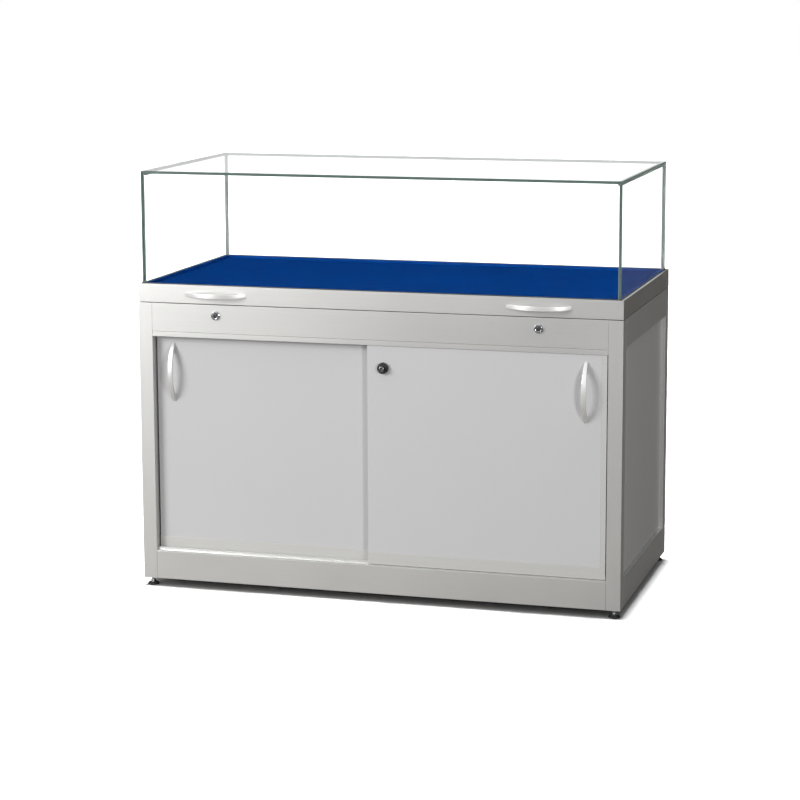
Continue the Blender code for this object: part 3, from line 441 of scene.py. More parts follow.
def copy_node(name, node):
    """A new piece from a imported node's mesh, its doubled points merged and its flats whole."""
    obj = bpy.data.objects.new(name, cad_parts[node].data.copy())
    obj.data.name = name
    scene.collection.objects.link(obj)
    only(obj)
    bpy.ops.object.mode_set(mode="EDIT")
    bpy.ops.mesh.select_all(action="SELECT")
    bpy.ops.mesh.remove_doubles(threshold=DOUBLE_POINTS)
    bpy.ops.mesh.dissolve_limited(angle_limit=FLAT_ANGLE)
    bpy.ops.mesh.normals_make_consistent(inside=False)
    bpy.ops.object.mode_set(mode="OBJECT")
    return obj


def round_edges(obj, radius, segments=2):
    """Breaks the sharp edges of a finished piece, and smooths what is left."""
    only(obj)
    bevel = obj.modifiers.new("edge", "BEVEL")
    bevel.width = radius
    bevel.segments = segments
    bevel.limit_method = "ANGLE"
    bevel.angle_limit = EDGE_ANGLE
    bpy.ops.object.modifier_apply(modifier=bevel.name)
    bpy.ops.object.shade_smooth_by_angle(angle=EDGE_ANGLE)
    flats = obj.modifiers.new("flats", "WEIGHTED_NORMAL")
    flats.keep_sharp = True
    bpy.ops.object.modifier_apply(modifier=flats.name)


def dress(obj, body, slot, *materials):
    """Gives a finished piece its materials and the body it rides on. The slot is not used."""
    obj.data.materials.clear()
    for material in materials:
        obj.data.materials.append(material)
    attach(obj, body)


def refinish(node, body, slot, radius, *materials, segments=2):
    """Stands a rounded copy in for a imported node, with its real finish."""
    obj = copy_node(node + ".finished", node)
    dress(obj, body, slot, *materials)
    round_edges(obj, radius, segments)
    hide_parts(node)
    return obj


# Satin anodised aluminium: soft, slightly streaked silver that fades from light to mid grey.
# The streaks follow the bar, so there is one finish for each way a bar can lie.
along = 1 / DIE_LINE_LENGTH
across = 1 / DIE_LINE_PITCH
aluminium = {}
for axis, grain in (
    ("x", (along, across, across)),
    ("y", (across, along, across)),
    ("z", (across, across, along)),
):
    aluminium[axis] = make_surface(
        "aluminium_satin_anodised_along_" + axis,
        "dadad9",
        "d1d1cf",
        0.40,
        rough_change=0.05,
        metallic=0.88,
        grain=grain,
        relief=0.000012,
        patches=3.0,
        worn="e2e2e0",
    )

for corner in CORNERS:
    refinish("post_" + corner, "base", "frame_aluminium", EXTRUSION_EDGE, aluminium["z"])
for node in ("fascia_rail", "top_rail_rear", "bottom_rail_front", "bottom_rail_rear"):
    refinish(node, "base", "frame_aluminium", EXTRUSION_EDGE, aluminium["x"])
for node in ("top_rail_left", "top_rail_right", "bottom_rail_left", "bottom_rail_right"):
    refinish(node, "base", "frame_aluminium", EXTRUSION_EDGE, aluminium["y"])


# ---------------------------------------------------------------------------------------------
# Post caps: square black plastic plugs pressed into the open top of each hollow post. They show
# only with the hood lifted.
# ---------------------------------------------------------------------------------------------

CAP_SIZE = 0.0306  # the post's bore less a sliding fit
CAP_DROP = 0.0006
CAP_HEIGHT = 0.005
CAP_RIM = 0.004
CAP_DISH = 0.0012
CAP_EDGE = 0.0008


def add_block(name, low, high):
    """A rectangular block between two corners, at the size and place it is wanted."""
    low = Vector(low)
    high = Vector(high)
    bpy.ops.object.select_all(action="DESELECT")
    bpy.ops.mesh.primitive_cube_add(size=1, location=(low + high) / 2, scale=high - low)
    obj = bpy.context.object
    obj.name = name
    obj.data.name = name
    bpy.ops.object.transform_apply(location=True, rotation=True, scale=True)
    return obj


FACING = 0.9  # a face looks along an axis when its normal's part along it is more than this


def pick_faces(obj, test):
    """Opens a piece for editing and selects the faces whose middle and normal pass a test."""
    only(obj)
    bpy.ops.object.mode_set(mode="EDIT")
    bpy.ops.mesh.select_mode(type="FACE")
    bpy.ops.mesh.select_all(action="DESELECT")
    mesh = bmesh.from_edit_mesh(obj.data)
    for face in mesh.faces:
        face.select_set(bool(test(face.calc_center_median(), face.normal)))
    bmesh.update_edit_mesh(obj.data)


# Black moulded plastic: dull near-black with a fine spark-eroded texture.
black_plastic = make_surface(
    "plastic_black_moulded", "17181a", "1f2022", 0.5, grain=(1400, 1400, 1400), relief=0.00001
)
for corner in CORNERS:
    low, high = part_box("post_" + corner)
    middle = (low + high) / 2
    top = high.z - CAP_DROP
    half = CAP_SIZE / 2
    cap = add_block(
        "post_cap_" + corner,
        (middle.x - half, middle.y - half, top - CAP_HEIGHT),
        (middle.x + half, middle.y + half, top),
    )
    pick_faces(cap, lambda middle, normal: normal.z > FACING)
    bpy.ops.mesh.inset(thickness=CAP_RIM)
    bpy.ops.transform.translate(value=(0, 0, -CAP_DISH))
    bpy.ops.object.mode_set(mode="OBJECT")
    dress(cap, "base", "black_foot", black_plastic)
    round_edges(cap, CAP_EDGE)


# ---------------------------------------------------------------------------------------------
# Panels of the cabinet: silver-grey melamine chipboard in the sides and the back, sunk into the
# frame, and the same board as a floor.
# ---------------------------------------------------------------------------------------------

BOARD_EDGE = 0.0004
# Silver-grey melamine: smooth, faintly pearled board with a low soft sheen.
side_board = make_surface(
    "melamine_silver_grey",
    "b0b0af",
    "aaaaaa",
    0.38,
    grain=(700, 700, 700),
    relief=0.00002,
    patches=2.2,
)
for node in ("side_panel_left", "side_panel_right", "back_panel", "floor_panel"):
    refinish(node, "base", "side_board", BOARD_EDGE, side_board)


# ---------------------------------------------------------------------------------------------
# Door track: an aluminium channel under the fascia and a ribbed strip on the bottom rail, both
# pressed into place, in which the two doors slide past each other.
# ---------------------------------------------------------------------------------------------

TRACK_EDGE = 0.0003
for node in ("door_track_top", "door_track_bottom"):
    refinish(node, "base", "frame_aluminium", TRACK_EDGE, aluminium["x"])


# ---------------------------------------------------------------------------------------------
# Sliding doors: two pearl-grey melamine boards with banded edges, standing in an aluminium shoe
# that runs on the track. The right door is in front and has an aluminium strip on its far edge.
# ---------------------------------------------------------------------------------------------

BAND_DEPTH = 0.0008  # also how far the board's edges are rounded
# Pearl-grey melamine: light neutral grey, matt, with a barely visible orange-peel grain.
door_board = make_surface(
    "melamine_pearl_grey",
    "b4b4b5",
    "afafb0",
    0.46,
    grain=(600, 600, 600),
    relief=0.00002,
    patches=1.6,
)
# Edge banding: the same grey in plain plastic, a little darker and smoother than the board.
edge_band = make_surface(
    "edge_band_grey_plastic", "a9aaa9", "a3a4a3", 0.34, grain=(900, 900, 900), relief=0.00001
)
# Door-edge aluminium: the same silver in a paler, flatter anodising that nearly matches the board.
pale_aluminium = make_surface(
    "aluminium_matt_pale",
    "c4c4c1",
    "bbbbb8",
    0.5,
    metallic=0.45,
    grain=(along, across, across),
    relief=0.00001,
    patches=3.0,
)
for side in ("left", "right"):
    door = refinish(
        "door_panel_" + side, "door_" + side, "door_board", BAND_DEPTH, door_board, edge_band
    )
    # The broad faces are board, and the edges take the banding.
    for face in door.data.polygons:
        face.material_index = int(abs(face.normal.y) < 0.5)
    refinish("door_shoe_" + side, "door_" + side, "frame_aluminium", TRACK_EDGE, pale_aluminium)
refinish("door_edge_trim_right", "door_right", "frame_aluminium", TRACK_EDGE, pale_aluminium)


# ---------------------------------------------------------------------------------------------
# Door gap strips: a strip of black rubber stuck to each front post where its door closes against
# it, put in as painted shade for the gap. Only a thin dark line of it shows there.
# ---------------------------------------------------------------------------------------------

SHADE_STRIP_INSET = 0.003  # from the faces of the door
SHADE_STRIP_GAP = 0.0003
SHADE_STRIP_EDGE = 0.0003
# Extruded rubber: near black and matt, with a faint grey bloom. Its black is painted shade in the
# gap beside each door.
rubber_painted_shade = make_surface(
    "rubber_black_painted_shade", "1c1c1c", "242424", 0.75, grain=(400, 400, 400), relief=0.00003
)
for side, sign in (("left", -1), ("right", 1)):
    door_low, door_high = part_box("door_panel_" + side)
    shoe_low, shoe_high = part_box("door_shoe_" + side)
    post_low, post_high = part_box("post_front_" + side)
    if sign < 0:
        start, end = post_high.x, shoe_low.x - SHADE_STRIP_GAP
    else:
        start, end = shoe_high.x + SHADE_STRIP_GAP, post_low.x
    # The strip fills the gap with painted shade.
    painted_shade_strip = add_block(
        "door_gap_painted_shade_" + side,
        (start, door_low.y + SHADE_STRIP_INSET, shoe_high.z),
        (end, door_high.y - SHADE_STRIP_INSET, door_high.z),
    )
    dress(painted_shade_strip, "base", "black_foot", rubber_painted_shade)
    round_edges(painted_shade_strip, SHADE_STRIP_EDGE)


# ---------------------------------------------------------------------------------------------
# Deck: a medium-density fibreboard on two battens, sawn out beside the gas struts. It carries the
# display cloth, and its bare edges show only with the hood lifted.
# ---------------------------------------------------------------------------------------------

DECK_EDGE = 0.0005
# Bare fibreboard: warm mid brown with a fine felted fleck.
fibreboard = make_surface(
    "fibreboard_bare", "9a7d5c", "8a6d4d", 0.82, grain=(500, 500, 500), relief=0.00006
)
refinish("deck_board", "base", "deck_wood", DECK_EDGE, fibreboard)


# ---------------------------------------------------------------------------------------------
# Display cloth: royal-blue napped cloth cut to the deck and glued down flat, with the same two
# notches as the board under it and a slightly soft, pressed edge.
# ---------------------------------------------------------------------------------------------

CLOTH_WEAVE = 1 / 0.0024  # coarser than the real nap, so that it holds at this distance
CLOTH_STEP = 0.024
CLOTH_EDGE = 0.0004
NOTCH_FRONT = 0.13925  # the notches' ends, as sawn in the board
NOTCH_REAR = 0.23525
NOTCH_INNER = 0.556
cloth_low, cloth_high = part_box("deck_cloth")
cloth_width = cloth_high.x - cloth_low.x
cloth_length = cloth_high.y - cloth_low.y

bpy.ops.object.select_all(action="DESELECT")
bpy.ops.mesh.primitive_grid_add(
    x_subdivisions=round(cloth_width / CLOTH_STEP),
    y_subdivisions=round(cloth_length / CLOTH_STEP),
    size=1,
    location=((cloth_low.x + cloth_high.x) / 2, (cloth_low.y + cloth_high.y) / 2, cloth_high.z),
)
cloth = bpy.context.object
cloth.name = "display_cloth"
bpy.ops.transform.resize(value=(cloth_width, cloth_length, 1), center_override=cloth.location)
bpy.ops.object.transform_apply(location=True, rotation=True, scale=True)
bpy.ops.object.mode_set(mode="EDIT")
for point, normal in (
    ((NOTCH_INNER, 0, 0), (1, 0, 0)),
    ((-NOTCH_INNER, 0, 0), (1, 0, 0)),
    ((0, NOTCH_FRONT, 0), (0, 1, 0)),
    ((0, NOTCH_REAR, 0), (0, 1, 0)),
):
    bpy.ops.mesh.select_all(action="SELECT")
    bpy.ops.mesh.bisect(plane_co=point, plane_no=normal)
pick_faces(
    cloth,
    lambda middle, normal: abs(middle.x) > NOTCH_INNER and NOTCH_FRONT < middle.y < NOTCH_REAR,
)
bpy.ops.mesh.delete(type="FACE")
bpy.ops.mesh.select_all(action="SELECT")
bpy.ops.mesh.remove_doubles(threshold=DOUBLE_POINTS)
bpy.ops.mesh.normals_make_consistent(inside=False)
bpy.ops.object.mode_set(mode="OBJECT")
thick = cloth.modifiers.new("thickness", "SOLIDIFY")
thick.thickness = cloth_high.z - cloth_low.z
thick.offset = -1
bpy.ops.object.modifier_apply(modifier=thick.name)

# Royal-blue napped cloth: deep, even blue that takes the light softly, with a fine dense pile.
blue_cloth = make_surface(
    "cloth_royal_blue_napped",
    "063474",
    "062d68",
    0.95,
    rough_change=0.03,
    grain=(CLOTH_WEAVE, CLOTH_WEAVE, CLOTH_WEAVE),
    relief=0.00035,
    patches=9.0,
    specular=0.0,
)
dress(cloth, "base", "display_cloth", blue_cloth)
round_edges(cloth, CLOTH_EDGE, segments=1)
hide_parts("deck_cloth")


# ---------------------------------------------------------------------------------------------
# Notch covers: two thin steel flaps on the hood's side rails, faced with the same cloth. They
# close the deck's notches when the hood is down, and lift out of the way with it.
# ---------------------------------------------------------------------------------------------

COVER_GAP = 0.0006
COVER_THICKNESS = 0.0014
COVER_LEG = 0.013
COVER_LEG_THICKNESS = 0.0012
COVER_WALL_GAP = 0.0001
COVER_EDGE = 0.0003
for side, sign in (("left", -1), ("right", 1)):
    rail_low, rail_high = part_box("hood_rail_" + side)
    rail_inner = rail_low.x if sign > 0 else rail_high.x
    edge = sign * (NOTCH_INNER + COVER_GAP)
    wall = rail_inner - sign * COVER_WALL_GAP
    top = cloth_high.z
    cover = add_block(
        "notch_cover_" + side,
        (min(edge, wall), NOTCH_FRONT + COVER_GAP, top - COVER_THICKNESS),
        (max(edge, wall), NOTCH_REAR - 2 * COVER_GAP, top),
    )
    # The leg that is screwed to the rail is folded down from the flap's outer end.
    only(cover)
    bpy.ops.object.mode_set(mode="EDIT")
    bpy.ops.mesh.select_all(action="SELECT")
    bend = wall - sign * COVER_LEG_THICKNESS
    bpy.ops.mesh.bisect(plane_co=(bend, 0, 0), plane_no=(1, 0, 0))
    pick_faces(cover, lambda middle, normal: normal.z < -FACING and abs(middle.x) > abs(bend))
    bpy.ops.mesh.extrude_region_move(TRANSFORM_OT_translate={"value": (0, 0, -COVER_LEG)})
    bpy.ops.object.mode_set(mode="OBJECT")
    dress(cover, "hood", "display_cloth", blue_cloth)
    round_edges(cover, COVER_EDGE)


# ---------------------------------------------------------------------------------------------
# Hood frame: a mitred ring of grooved aluminium bars, in the same satin finish as the cabinet's,
# that carries the glass.
# ---------------------------------------------------------------------------------------------

for side in ("front", "rear"):
    refinish("hood_rail_" + side, "hood", "frame_aluminium", EXTRUSION_EDGE, aluminium["x"])
for side in ("left", "right"):
    side_rail = refinish(
        "hood_rail_" + side, "hood", "frame_aluminium", EXTRUSION_EDGE, aluminium["y"]
    )
    # The front lamps leave the side bars out, so that their tops stay shaded.
    leave_out(side_rail)


# ---------------------------------------------------------------------------------------------
# Glass hood: five panes of clear float glass with ground and polished edges, bonded edge to
# edge, standing in the groove of the hood's frame.
# ---------------------------------------------------------------------------------------------

ARRIS = 0.0005
FLAT_ON = 0.999  # the part of a normal that tells a broad face from an arris
# Clear float glass: colourless from the front, a trace of green through its depth. It is taken as
# coated against reflections, and the low IOR stands for the coating: hardly a mirror image, even
# at a slant. Shadow rays pass it, as light does.
clear_glass = bpy.data.materials.new("float_glass_clear_coated")
clear_glass.use_nodes = True
tree = clear_glass.node_tree
shader = tree.nodes["Principled BSDF"]
shader.inputs["Base Color"].default_value = linear_colour("fbfdfc")
shader.inputs["Roughness"].default_value = 0.0
shader.inputs["Transmission Weight"].default_value = 1.0
shader.inputs["IOR"].default_value = 1.08
path = add_node(tree, "ShaderNodeLightPath")
passed = add_node(
    tree, "ShaderNodeBsdfTransparent", values={"Color": linear_colour("fafcfb")}
)
blend = add_node(
    tree,
    "ShaderNodeMixShader",
    links={0: path.outputs["Is Shadow Ray"], 1: shader.outputs[0], 2: passed.outputs[0]},
)
tree.links.new(blend.outputs[0], tree.nodes["Material Output"].inputs["Surface"])

# Polished glass edge: grey-green, the colour of the glass seen along its depth, with some of the
# light inside the pane coming out.
glass_edge = make_surface(
    "float_glass_polished_edge",
    "62746d",
    "586a63",
    0.24,
    rough_change=0.03,
    grain=(60, 60, 60),
    relief=0.000004,
    patches=12.0,
    specular=0.3,
)
glass_edge.node_tree.nodes["Principled BSDF"].inputs["Transmission Weight"].default_value = 0.35
panes = bpy.data.collections.new("lit_by_rim_lamp")
# The broad faces are clear. The four edges and their arrises take the edge finish.
for side in ("front", "rear", "left", "right", "top"):
    pane = copy_node("pane_" + side, "glass_" + side)
    panes.objects.link(pane)
    dress(pane, "hood", "glass", clear_glass, glass_edge)
    low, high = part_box("glass_" + side)
    size = high - low
    thin = min(range(3), key=lambda axis: size[axis])
    round_edges(pane, ARRIS, segments=1)
    for face in pane.data.polygons:
        face.material_index = int(abs(face.normal[thin]) < FLAT_ON)
    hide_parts("glass_" + side)

# A rim lamp at the right lights only the glass, so that its edges show on the shaded side.
rim = add_lamp("rim_lamp", place=(3.3, -0.8, 1.5), target=(0.5, 0.0, 0.9), size=1.0, power=75)
rim.light_linking.receiver_collection = panes


# ---------------------------------------------------------------------------------------------
# Glazing bead: dark grey silicone run round the outside of the glass where it enters the groove. It
# seals the joint and hides the groove, and its dark grey is partly painted shade for the dark line
# at the foot of the glass.
# ---------------------------------------------------------------------------------------------

BEAD = 0.0022
BEAD_SINK = 0.0002
BEAD_GAP = 0.0002  # between the bead and the glass
BEAD_EDGE = 0.0006
# Grey silicone: a dull, slightly rubbery dark grey line, partly painted shade at the foot of the
# glass.
silicone_painted_shade = make_surface(
    "silicone_dark_grey_painted_shade", "33373a", "2b2f32", 0.4, grain=(300, 300, 300), relief=0.00005
)
glass_low, glass_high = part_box("glass_top")
rail_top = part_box("hood_rail_front")[1].z
bead = add_block(
    "glazing_bead_outer",
    (glass_low.x - BEAD, glass_low.y - BEAD, rail_top - BEAD_SINK),
    (glass_high.x + BEAD, glass_high.y + BEAD, rail_top + BEAD),
)
pick_faces(bead, lambda middle, normal: abs(normal.z) > FACING)
bpy.ops.mesh.inset(thickness=BEAD - BEAD_GAP)
bpy.ops.mesh.bridge_edge_loops()
bpy.ops.object.mode_set(mode="OBJECT")
dress(bead, "hood", "black_enamel", silicone_painted_shade)
round_edges(bead, BEAD_EDGE)


# ---------------------------------------------------------------------------------------------
# Lining: a folded strip faced with the display cloth that hides the inner lip of the hood's
# frame and closes the gap to the deck against dust. It is glued to the frame.
# ---------------------------------------------------------------------------------------------

LINING = 0.0008
LINING_GAP = 0.0001
LINING_REACH = 0.0065  # below the top of the cloth
LINING_EDGE = 0.0002
ring_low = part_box("glass_front")[1].y + LINING_GAP
ring_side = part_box("glass_right")[0].x - LINING_GAP
ring_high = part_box("glass_rear")[0].y - LINING_GAP
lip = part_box("hood_rail_front")[1].y + LINING_GAP
width = lip + LINING - ring_low
lining = add_block(
    "frame_lining",
    (-ring_side, ring_low, rail_top + LINING_GAP),
    (ring_side, ring_high, rail_top + LINING_GAP + LINING),
)
pick_faces(lining, lambda middle, normal: abs(normal.z) > FACING)
bpy.ops.mesh.inset(thickness=width)
bpy.ops.mesh.bridge_edge_loops()
# The fold is marked all round, and the strip inside it is drawn down to the deck.
fold = width - LINING
for point, normal in (
    ((0, ring_low + fold, 0), (0, 1, 0)),
    ((0, ring_high - fold, 0), (0, 1, 0)),
    ((ring_side - fold, 0, 0), (1, 0, 0)),
    ((-ring_side + fold, 0, 0), (1, 0, 0)),
):
    bpy.ops.mesh.select_all(action="SELECT")
    bpy.ops.mesh.bisect(plane_co=point, plane_no=normal)
pick_faces(
    lining,
    lambda middle, normal: normal.z < -FACING
    and abs(middle.x) < ring_side - fold
    and ring_low + fold < middle.y < ring_high - fold,
)
drop = rail_top + LINING_GAP - cloth_high.z + LINING_REACH
bpy.ops.mesh.extrude_region_move(TRANSFORM_OT_translate={"value": (0, 0, -drop)})
bpy.ops.object.mode_set(mode="OBJECT")
dress(lining, "hood", "display_cloth", blue_cloth)
round_edges(lining, LINING_EDGE, segments=1)


# ---------------------------------------------------------------------------------------------
# Bonded seams: a small bead of clear adhesive in each inside corner of the glass hood, painted an
# opaque grey as painted shade, so that it reads as a thin grey line.
# ---------------------------------------------------------------------------------------------

SEAM_FRONT = 0.0015
SEAM_REAR = 0.0055  # also at the sides of the top pane
SEAM_LIFT = 0.001  # above the hood's frame
SEAM_EDGE = 0.0006
# Clear adhesive bead, painted a soft, slightly glossy grey: the shade it takes from the glass edges
# beside it is painted in. On the top pane's left and rear edges it is painted darker still, as
# painted shade on the far edges of the hood.
adhesive = make_surface(
    "adhesive_clear_bead", "6b6e6d", "646766", 0.3, grain=(120, 120, 120), relief=0.00003
)
adhesive_painted_shade = make_surface(
    "adhesive_clear_bead_painted_shade", "474b4a", "3f4342", 0.3, grain=(120, 120, 120), relief=0.00003
)
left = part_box("glass_left")[1].x
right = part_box("glass_right")[0].x
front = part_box("glass_front")[1].y
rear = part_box("glass_rear")[0].y
top = glass_low.z
foot = rail_top + SEAM_LIFT
left_in = left + SEAM_REAR
right_in = right - SEAM_REAR
front_in = front + SEAM_FRONT
rear_in = rear - SEAM_REAR
top_in = top - SEAM_REAR
for name, low, high, material in (
    ("front_left", (left, front, foot), (left + SEAM_FRONT, front_in, top), adhesive),
    ("front_right", (right - SEAM_FRONT, front, foot), (right, front_in, top), adhesive),
    ("rear_left", (left, rear_in, foot), (left_in, rear, top), adhesive),
    ("rear_right", (right_in, rear_in, foot), (right, rear, top), adhesive),
    ("top_front", (left_in, front, top - SEAM_FRONT), (right_in, front_in, top), adhesive),
    # The top pane's rear and left seams take the darker painted shade.
    ("top_rear", (left_in, rear_in, top_in), (right_in, rear, top), adhesive_painted_shade),
    ("top_left", (left, front_in, top_in), (left_in, rear_in, top), adhesive_painted_shade),
    ("top_right", (right_in, front_in, top_in), (right, rear_in, top), adhesive),
):
    bond = add_block("bond_" + name, low, high)
    dress(bond, "hood", "glass", material)
    round_edges(bond, SEAM_EDGE)


# ---------------------------------------------------------------------------------------------
# Bow handles: two on the hood and one on each door, die-cast zinc in satin nickel, screwed on
# from behind.
# ---------------------------------------------------------------------------------------------

HANDLE_EDGE = 0.0016
# Satin nickel: bright silver with a soft brushed glow along the bow.
satin_nickel = make_surface(
    "nickel_satin_plated",
    "e6e6e5",
    "dcdcda",
    0.4,
    rough_change=0.05,
    metallic=0.65,
    grain=(500, 500, 500),
    relief=0.000008,
    worn="f2f2f0",
)
for node, body in (
    ("hood_handle_left", "hood"),
    ("hood_handle_right", "hood"),
    ("door_handle_left", "door_left"),
    ("door_handle_right", "door_right"),
):
    refinish(node, body, "satin_nickel", HANDLE_EDGE, satin_nickel, segments=3)


# ---------------------------------------------------------------------------------------------
# Hood locks: two cam locks in the fascia. A chrome flange frames a steel key plug, and a strap
# under the hood drops behind the fascia for the cam to catch.
# ---------------------------------------------------------------------------------------------

DRUM_SIDES = 48
FLANGE_EDGE = 0.0012
RING_INSET = 0.0022  # within the flange's rim
RING_SINK = 0.0016  # behind the flange's face
RING_RISE = 0.0006  # in front of it
RING_EDGE = 0.0005
BORE_REACH = 0.003
PLUG_CLEARANCE = 0.0003
PLUG_EDGE = 0.0004
KEYWAY_HALF_WIDTH = 0.0008
KEYWAY_HALF_HEIGHT = 0.0033
KEYWAY_DEPTH = 0.0035
KEYWAY_OVERRUN = 0.001  # of the cutter, in front of the plug
KEYWAY_MARGIN = 0.00005
SHEET_STEEL_EDGE = 0.0003


def add_drum(name, start, end, radius, sides=DRUM_SIDES):
    """A solid drum between the middles of its two ends."""
    start = Vector(start)
    end = Vector(end)
    along = end - start
    bpy.ops.object.select_all(action="DESELECT")
    bpy.ops.mesh.primitive_cylinder_add(
        vertices=sides,
        radius=radius,
        depth=along.length,
        location=(start + end) / 2,
        rotation=along.to_track_quat("Z", "Y").to_euler(),
    )
    obj = bpy.context.object
    obj.name = name
    obj.data.name = name
    bpy.ops.object.transform_apply(location=True, rotation=True, scale=True)
    return obj


def cut_out(obj, cutter):
    """Takes the cutter's shape out of a piece, and the cutter away."""
    only(obj)
    cut = obj.modifiers.new("cut", "BOOLEAN")
    cut.operation = "DIFFERENCE"
    cut.solver = "EXACT"
    cut.object = cutter
    bpy.ops.object.modifier_apply(modifier=cut.name)
    bpy.data.objects.remove(cutter)


# Polished chrome: mirror-bright with a cool cast and the odd fine scratch.
chrome = make_surface(
    "chrome_polished", "dfe1e3", "d3d6d8", 0.12, rough_change=0.05, metallic=1.0, relief=0.000003
)
# Lock steel: dull grey turned steel that shows rubbed corners round the keyway.
lock_steel = make_surface(
    "steel_turned_dull", "66686a", "56585a", 0.36, metallic=0.9, relief=0.00001, worn="b4b6b8"
)
# Keyway: the inside of the lock, painted near black as painted shade in the slot.
keyway_painted_shade = make_surface("keyway_shadow", "0a0a0b", "101012", 0.7)


def cut_keyway(plug, middle, plug_face, half_width, half_height):
    """Cuts the slot for the key into a plug's face, and gives its inside the second material."""
    cutter = add_block(
        "keyway_cutter",
        (middle.x - half_width, plug_face - KEYWAY_OVERRUN, middle.z - half_height),
        (middle.x + half_width, plug_face + KEYWAY_DEPTH, middle.z + half_height),
    )
    cut_out(plug, cutter)
    for face in plug.data.polygons:
        aside = abs(face.center.x - middle.x) < half_width + KEYWAY_MARGIN
        level = abs(face.center.z - middle.z) < half_height + KEYWAY_MARGIN
        inside = KEYWAY_MARGIN < face.center.y - plug_face < KEYWAY_DEPTH + KEYWAY_MARGIN
        face.material_index = int(aside and level and inside)


for side in ("left", "right"):
    flange = "hood_lock_body_" + side
    low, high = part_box(flange)
    plug_low, plug_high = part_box("hood_lock_plug_" + side)
    middle = (low + high) / 2
    refinish(flange, "base", "chrome", FLANGE_EDGE, chrome, segments=3)
    ring = add_drum(
        "hood_lock_ring_" + side,
        (middle.x, low.y + RING_SINK, middle.z),
        (middle.x, low.y - RING_RISE, middle.z),
        (high.x - low.x) / 2 - RING_INSET,
    )
    bore = add_drum(
        "hood_lock_bore_" + side,
        (middle.x, low.y + BORE_REACH, middle.z),
        (middle.x, low.y - BORE_REACH, middle.z),
        (plug_high.x - plug_low.x) / 2 + PLUG_CLEARANCE,
    )
    cut_out(ring, bore)
    dress(ring, "base", "chrome", chrome)
    round_edges(ring, RING_EDGE, segments=3)
    plug = refinish(
        "hood_lock_plug_" + side,
        "hood_lock_" + side,
        "lock_steel",
        PLUG_EDGE,
        lock_steel,
        keyway_painted_shade,
    )
    cut_keyway(plug, middle, plug_low.y, KEYWAY_HALF_WIDTH, KEYWAY_HALF_HEIGHT)

# Zinc-plated steel: pale bluish grey, faintly mottled, of the straps, hinge and brackets.
zinc_steel = make_surface(
    "steel_zinc_plated",
    "b3b6b8",
    "9fa3a5",
    0.36,
    rough_change=0.1,
    metallic=0.9,
    grain=(160, 160, 160),
    relief=0.00001,
    patches=20.0,
    worn="c9cccd",
)
for side in ("left", "right"):
    refinish("hood_keeper_" + side, "hood", "zinc_steel", SHEET_STEEL_EDGE, zinc_steel)


# ---------------------------------------------------------------------------------------------
# Door lock: a push lock in the corner of the right door, a black plastic rosette round a turned
# steel plunger with a keyway.
# ---------------------------------------------------------------------------------------------

ROSETTE_EDGE = 0.0016
PLUNGER_EDGE = 0.0006
DOOR_KEYWAY_HALF_WIDTH = 0.0009
DOOR_KEYWAY_HALF_HEIGHT = 0.0038
COLLAR_RADIUS = 0.0095
COLLAR_WIDTH = 0.0032
COLLAR_SINK = 0.001
COLLAR_RISE = 0.0007
COLLAR_EDGE = 0.0003
low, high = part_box("door_lock_body")
middle = (low + high) / 2
refinish("door_lock_body", "door_right", "black_enamel", ROSETTE_EDGE, black_plastic, segments=3)
plunger = refinish(
    "door_lock_plunger",
    "door_lock_plunger",
    "lock_steel",
    PLUNGER_EDGE,
    lock_steel,
    keyway_painted_shade,
)
plunger_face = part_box("door_lock_plunger")[0].y
cut_keyway(plunger, middle, plunger_face, DOOR_KEYWAY_HALF_WIDTH, DOOR_KEYWAY_HALF_HEIGHT)
collar = add_drum(
    "door_lock_collar",
    (middle.x, low.y + COLLAR_SINK, middle.z),
    (middle.x, low.y - COLLAR_RISE, middle.z),
    COLLAR_RADIUS,
)
pick_faces(collar, lambda middle, normal: abs(normal.y) > FACING)
bpy.ops.mesh.inset(thickness=COLLAR_WIDTH)
bpy.ops.mesh.bridge_edge_loops()
bpy.ops.object.mode_set(mode="OBJECT")
dress(collar, "door_right", "black_enamel", black_plastic)
round_edges(collar, COLLAR_EDGE)


# ---------------------------------------------------------------------------------------------
# Hinge: a full-length steel piano hinge on the rear, one leaf on the fixed rail and one on the
# hood's rail, each held by a row of pan-head screws.
# ---------------------------------------------------------------------------------------------

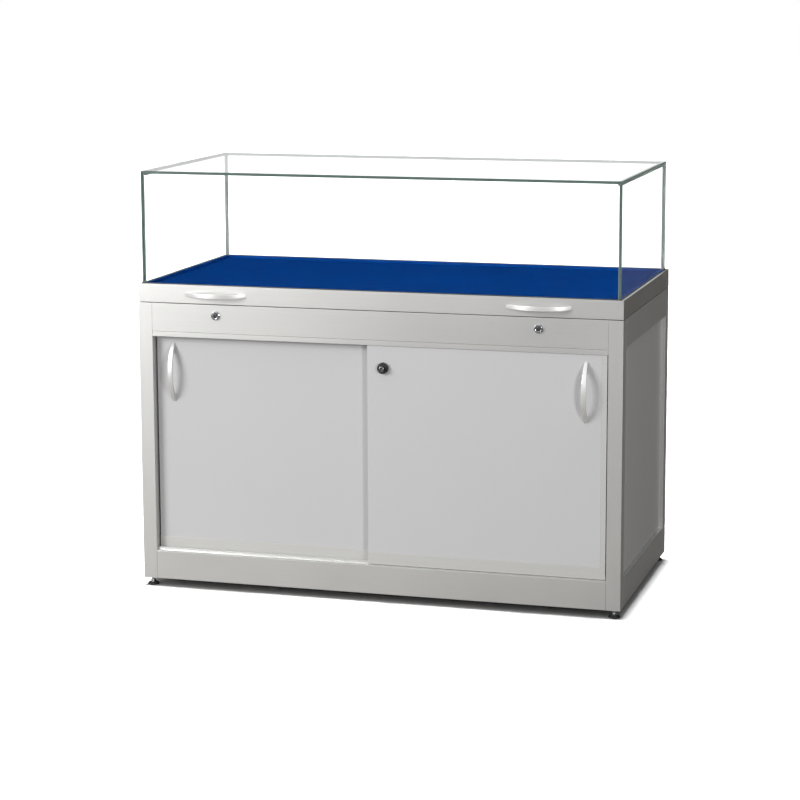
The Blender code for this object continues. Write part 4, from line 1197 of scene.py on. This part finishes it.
SCREW_ROW = 10
SCREW_RADIUS = 0.0034
SCREW_SIDES = 20
SCREW_SINK = 0.0002
SCREW_RISE = 0.0011
SCREW_RIM = 0.0018
SCREW_RECESS = 0.0007
SCREW_EDGE = 0.0003
LEAF_THICKNESS = 0.0015
BASE_ROW_Z = 0.6935
HOOD_ROW_Z = 0.7285
for body, row_z in (("base", BASE_ROW_Z), ("hood", HOOD_ROW_Z)):
    refinish("hinge_leaf_" + body, body, "zinc_steel", SHEET_STEEL_EDGE, zinc_steel)
    leaf_low, leaf_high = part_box("hinge_leaf_" + body)
    leaf_face = leaf_low.y + LEAF_THICKNESS
    spacing = (leaf_high.x - leaf_low.x) / SCREW_ROW
    for number in range(SCREW_ROW):
        screw_x = leaf_low.x + spacing * (number + 0.5)
        screw = add_drum(
            f"hinge_screw_{body}_{number}",
            (screw_x, leaf_face - SCREW_SINK, row_z),
            (screw_x, leaf_face + SCREW_RISE, row_z),
            SCREW_RADIUS,
            sides=SCREW_SIDES,
        )
        pick_faces(screw, lambda middle, normal: normal.y > FACING)
        bpy.ops.mesh.inset(thickness=SCREW_RIM)
        bpy.ops.mesh.extrude_region_move(
            TRANSFORM_OT_translate={"value": (0, -SCREW_RECESS, 0)}
        )
        bpy.ops.object.mode_set(mode="OBJECT")
        dress(screw, body, "zinc_steel", zinc_steel)
        round_edges(screw, SCREW_EDGE)


# ---------------------------------------------------------------------------------------------
# Gas struts: a black enamelled cylinder and a bright rod at each side of the deck, between a
# bracket on the cabinet and one on the hood.
# ---------------------------------------------------------------------------------------------

CYLINDER_EDGE = 0.0005
ROD_EDGE = 0.0003
# Black enamel: glossy black paint with a soft orange peel.
black_enamel = make_surface(
    "enamel_black_gloss", "101113", "16171a", 0.24, grain=(250, 250, 250), relief=0.00002, coat=0.3
)
for side in ("left", "right"):
    for node, body, slot, edge, material in (
        ("strut_bracket_lower_", "base", "zinc_steel", SHEET_STEEL_EDGE, zinc_steel),
        ("strut_bracket_upper_", "hood", "zinc_steel", SHEET_STEEL_EDGE, zinc_steel),
        ("strut_cylinder_", "strut_cylinder_" + side, "black_enamel", CYLINDER_EDGE, black_enamel),
        ("strut_rod_", "strut_rod_" + side, "chrome", ROD_EDGE, chrome),
    ):
        refinish(node + side, body, slot, edge, material)


# ---------------------------------------------------------------------------------------------
# Levelling feet: a black nylon pad on a threaded stem with a bright hexagon nut, screwed up into
# the foot of each post.
# ---------------------------------------------------------------------------------------------

PAD_TOP = 0.0081  # above the pad, below the nut
FOOT_EDGE = 0.0006
# Black nylon: dull black pad, scuffed grey round the rim.
nylon = make_surface(
    "nylon_black_scuffed",
    "151617",
    "202123",
    0.55,
    grain=(900, 900, 900),
    relief=0.00002,
    worn="34363a",
)
for corner in CORNERS:
    foot = refinish("foot_" + corner, "foot_" + corner, "black_foot", FOOT_EDGE, nylon, chrome)
    # The nut and the stem above the pad are bright.
    for face in foot.data.polygons:
        face.material_index = int(face.center.z > PAD_TOP)
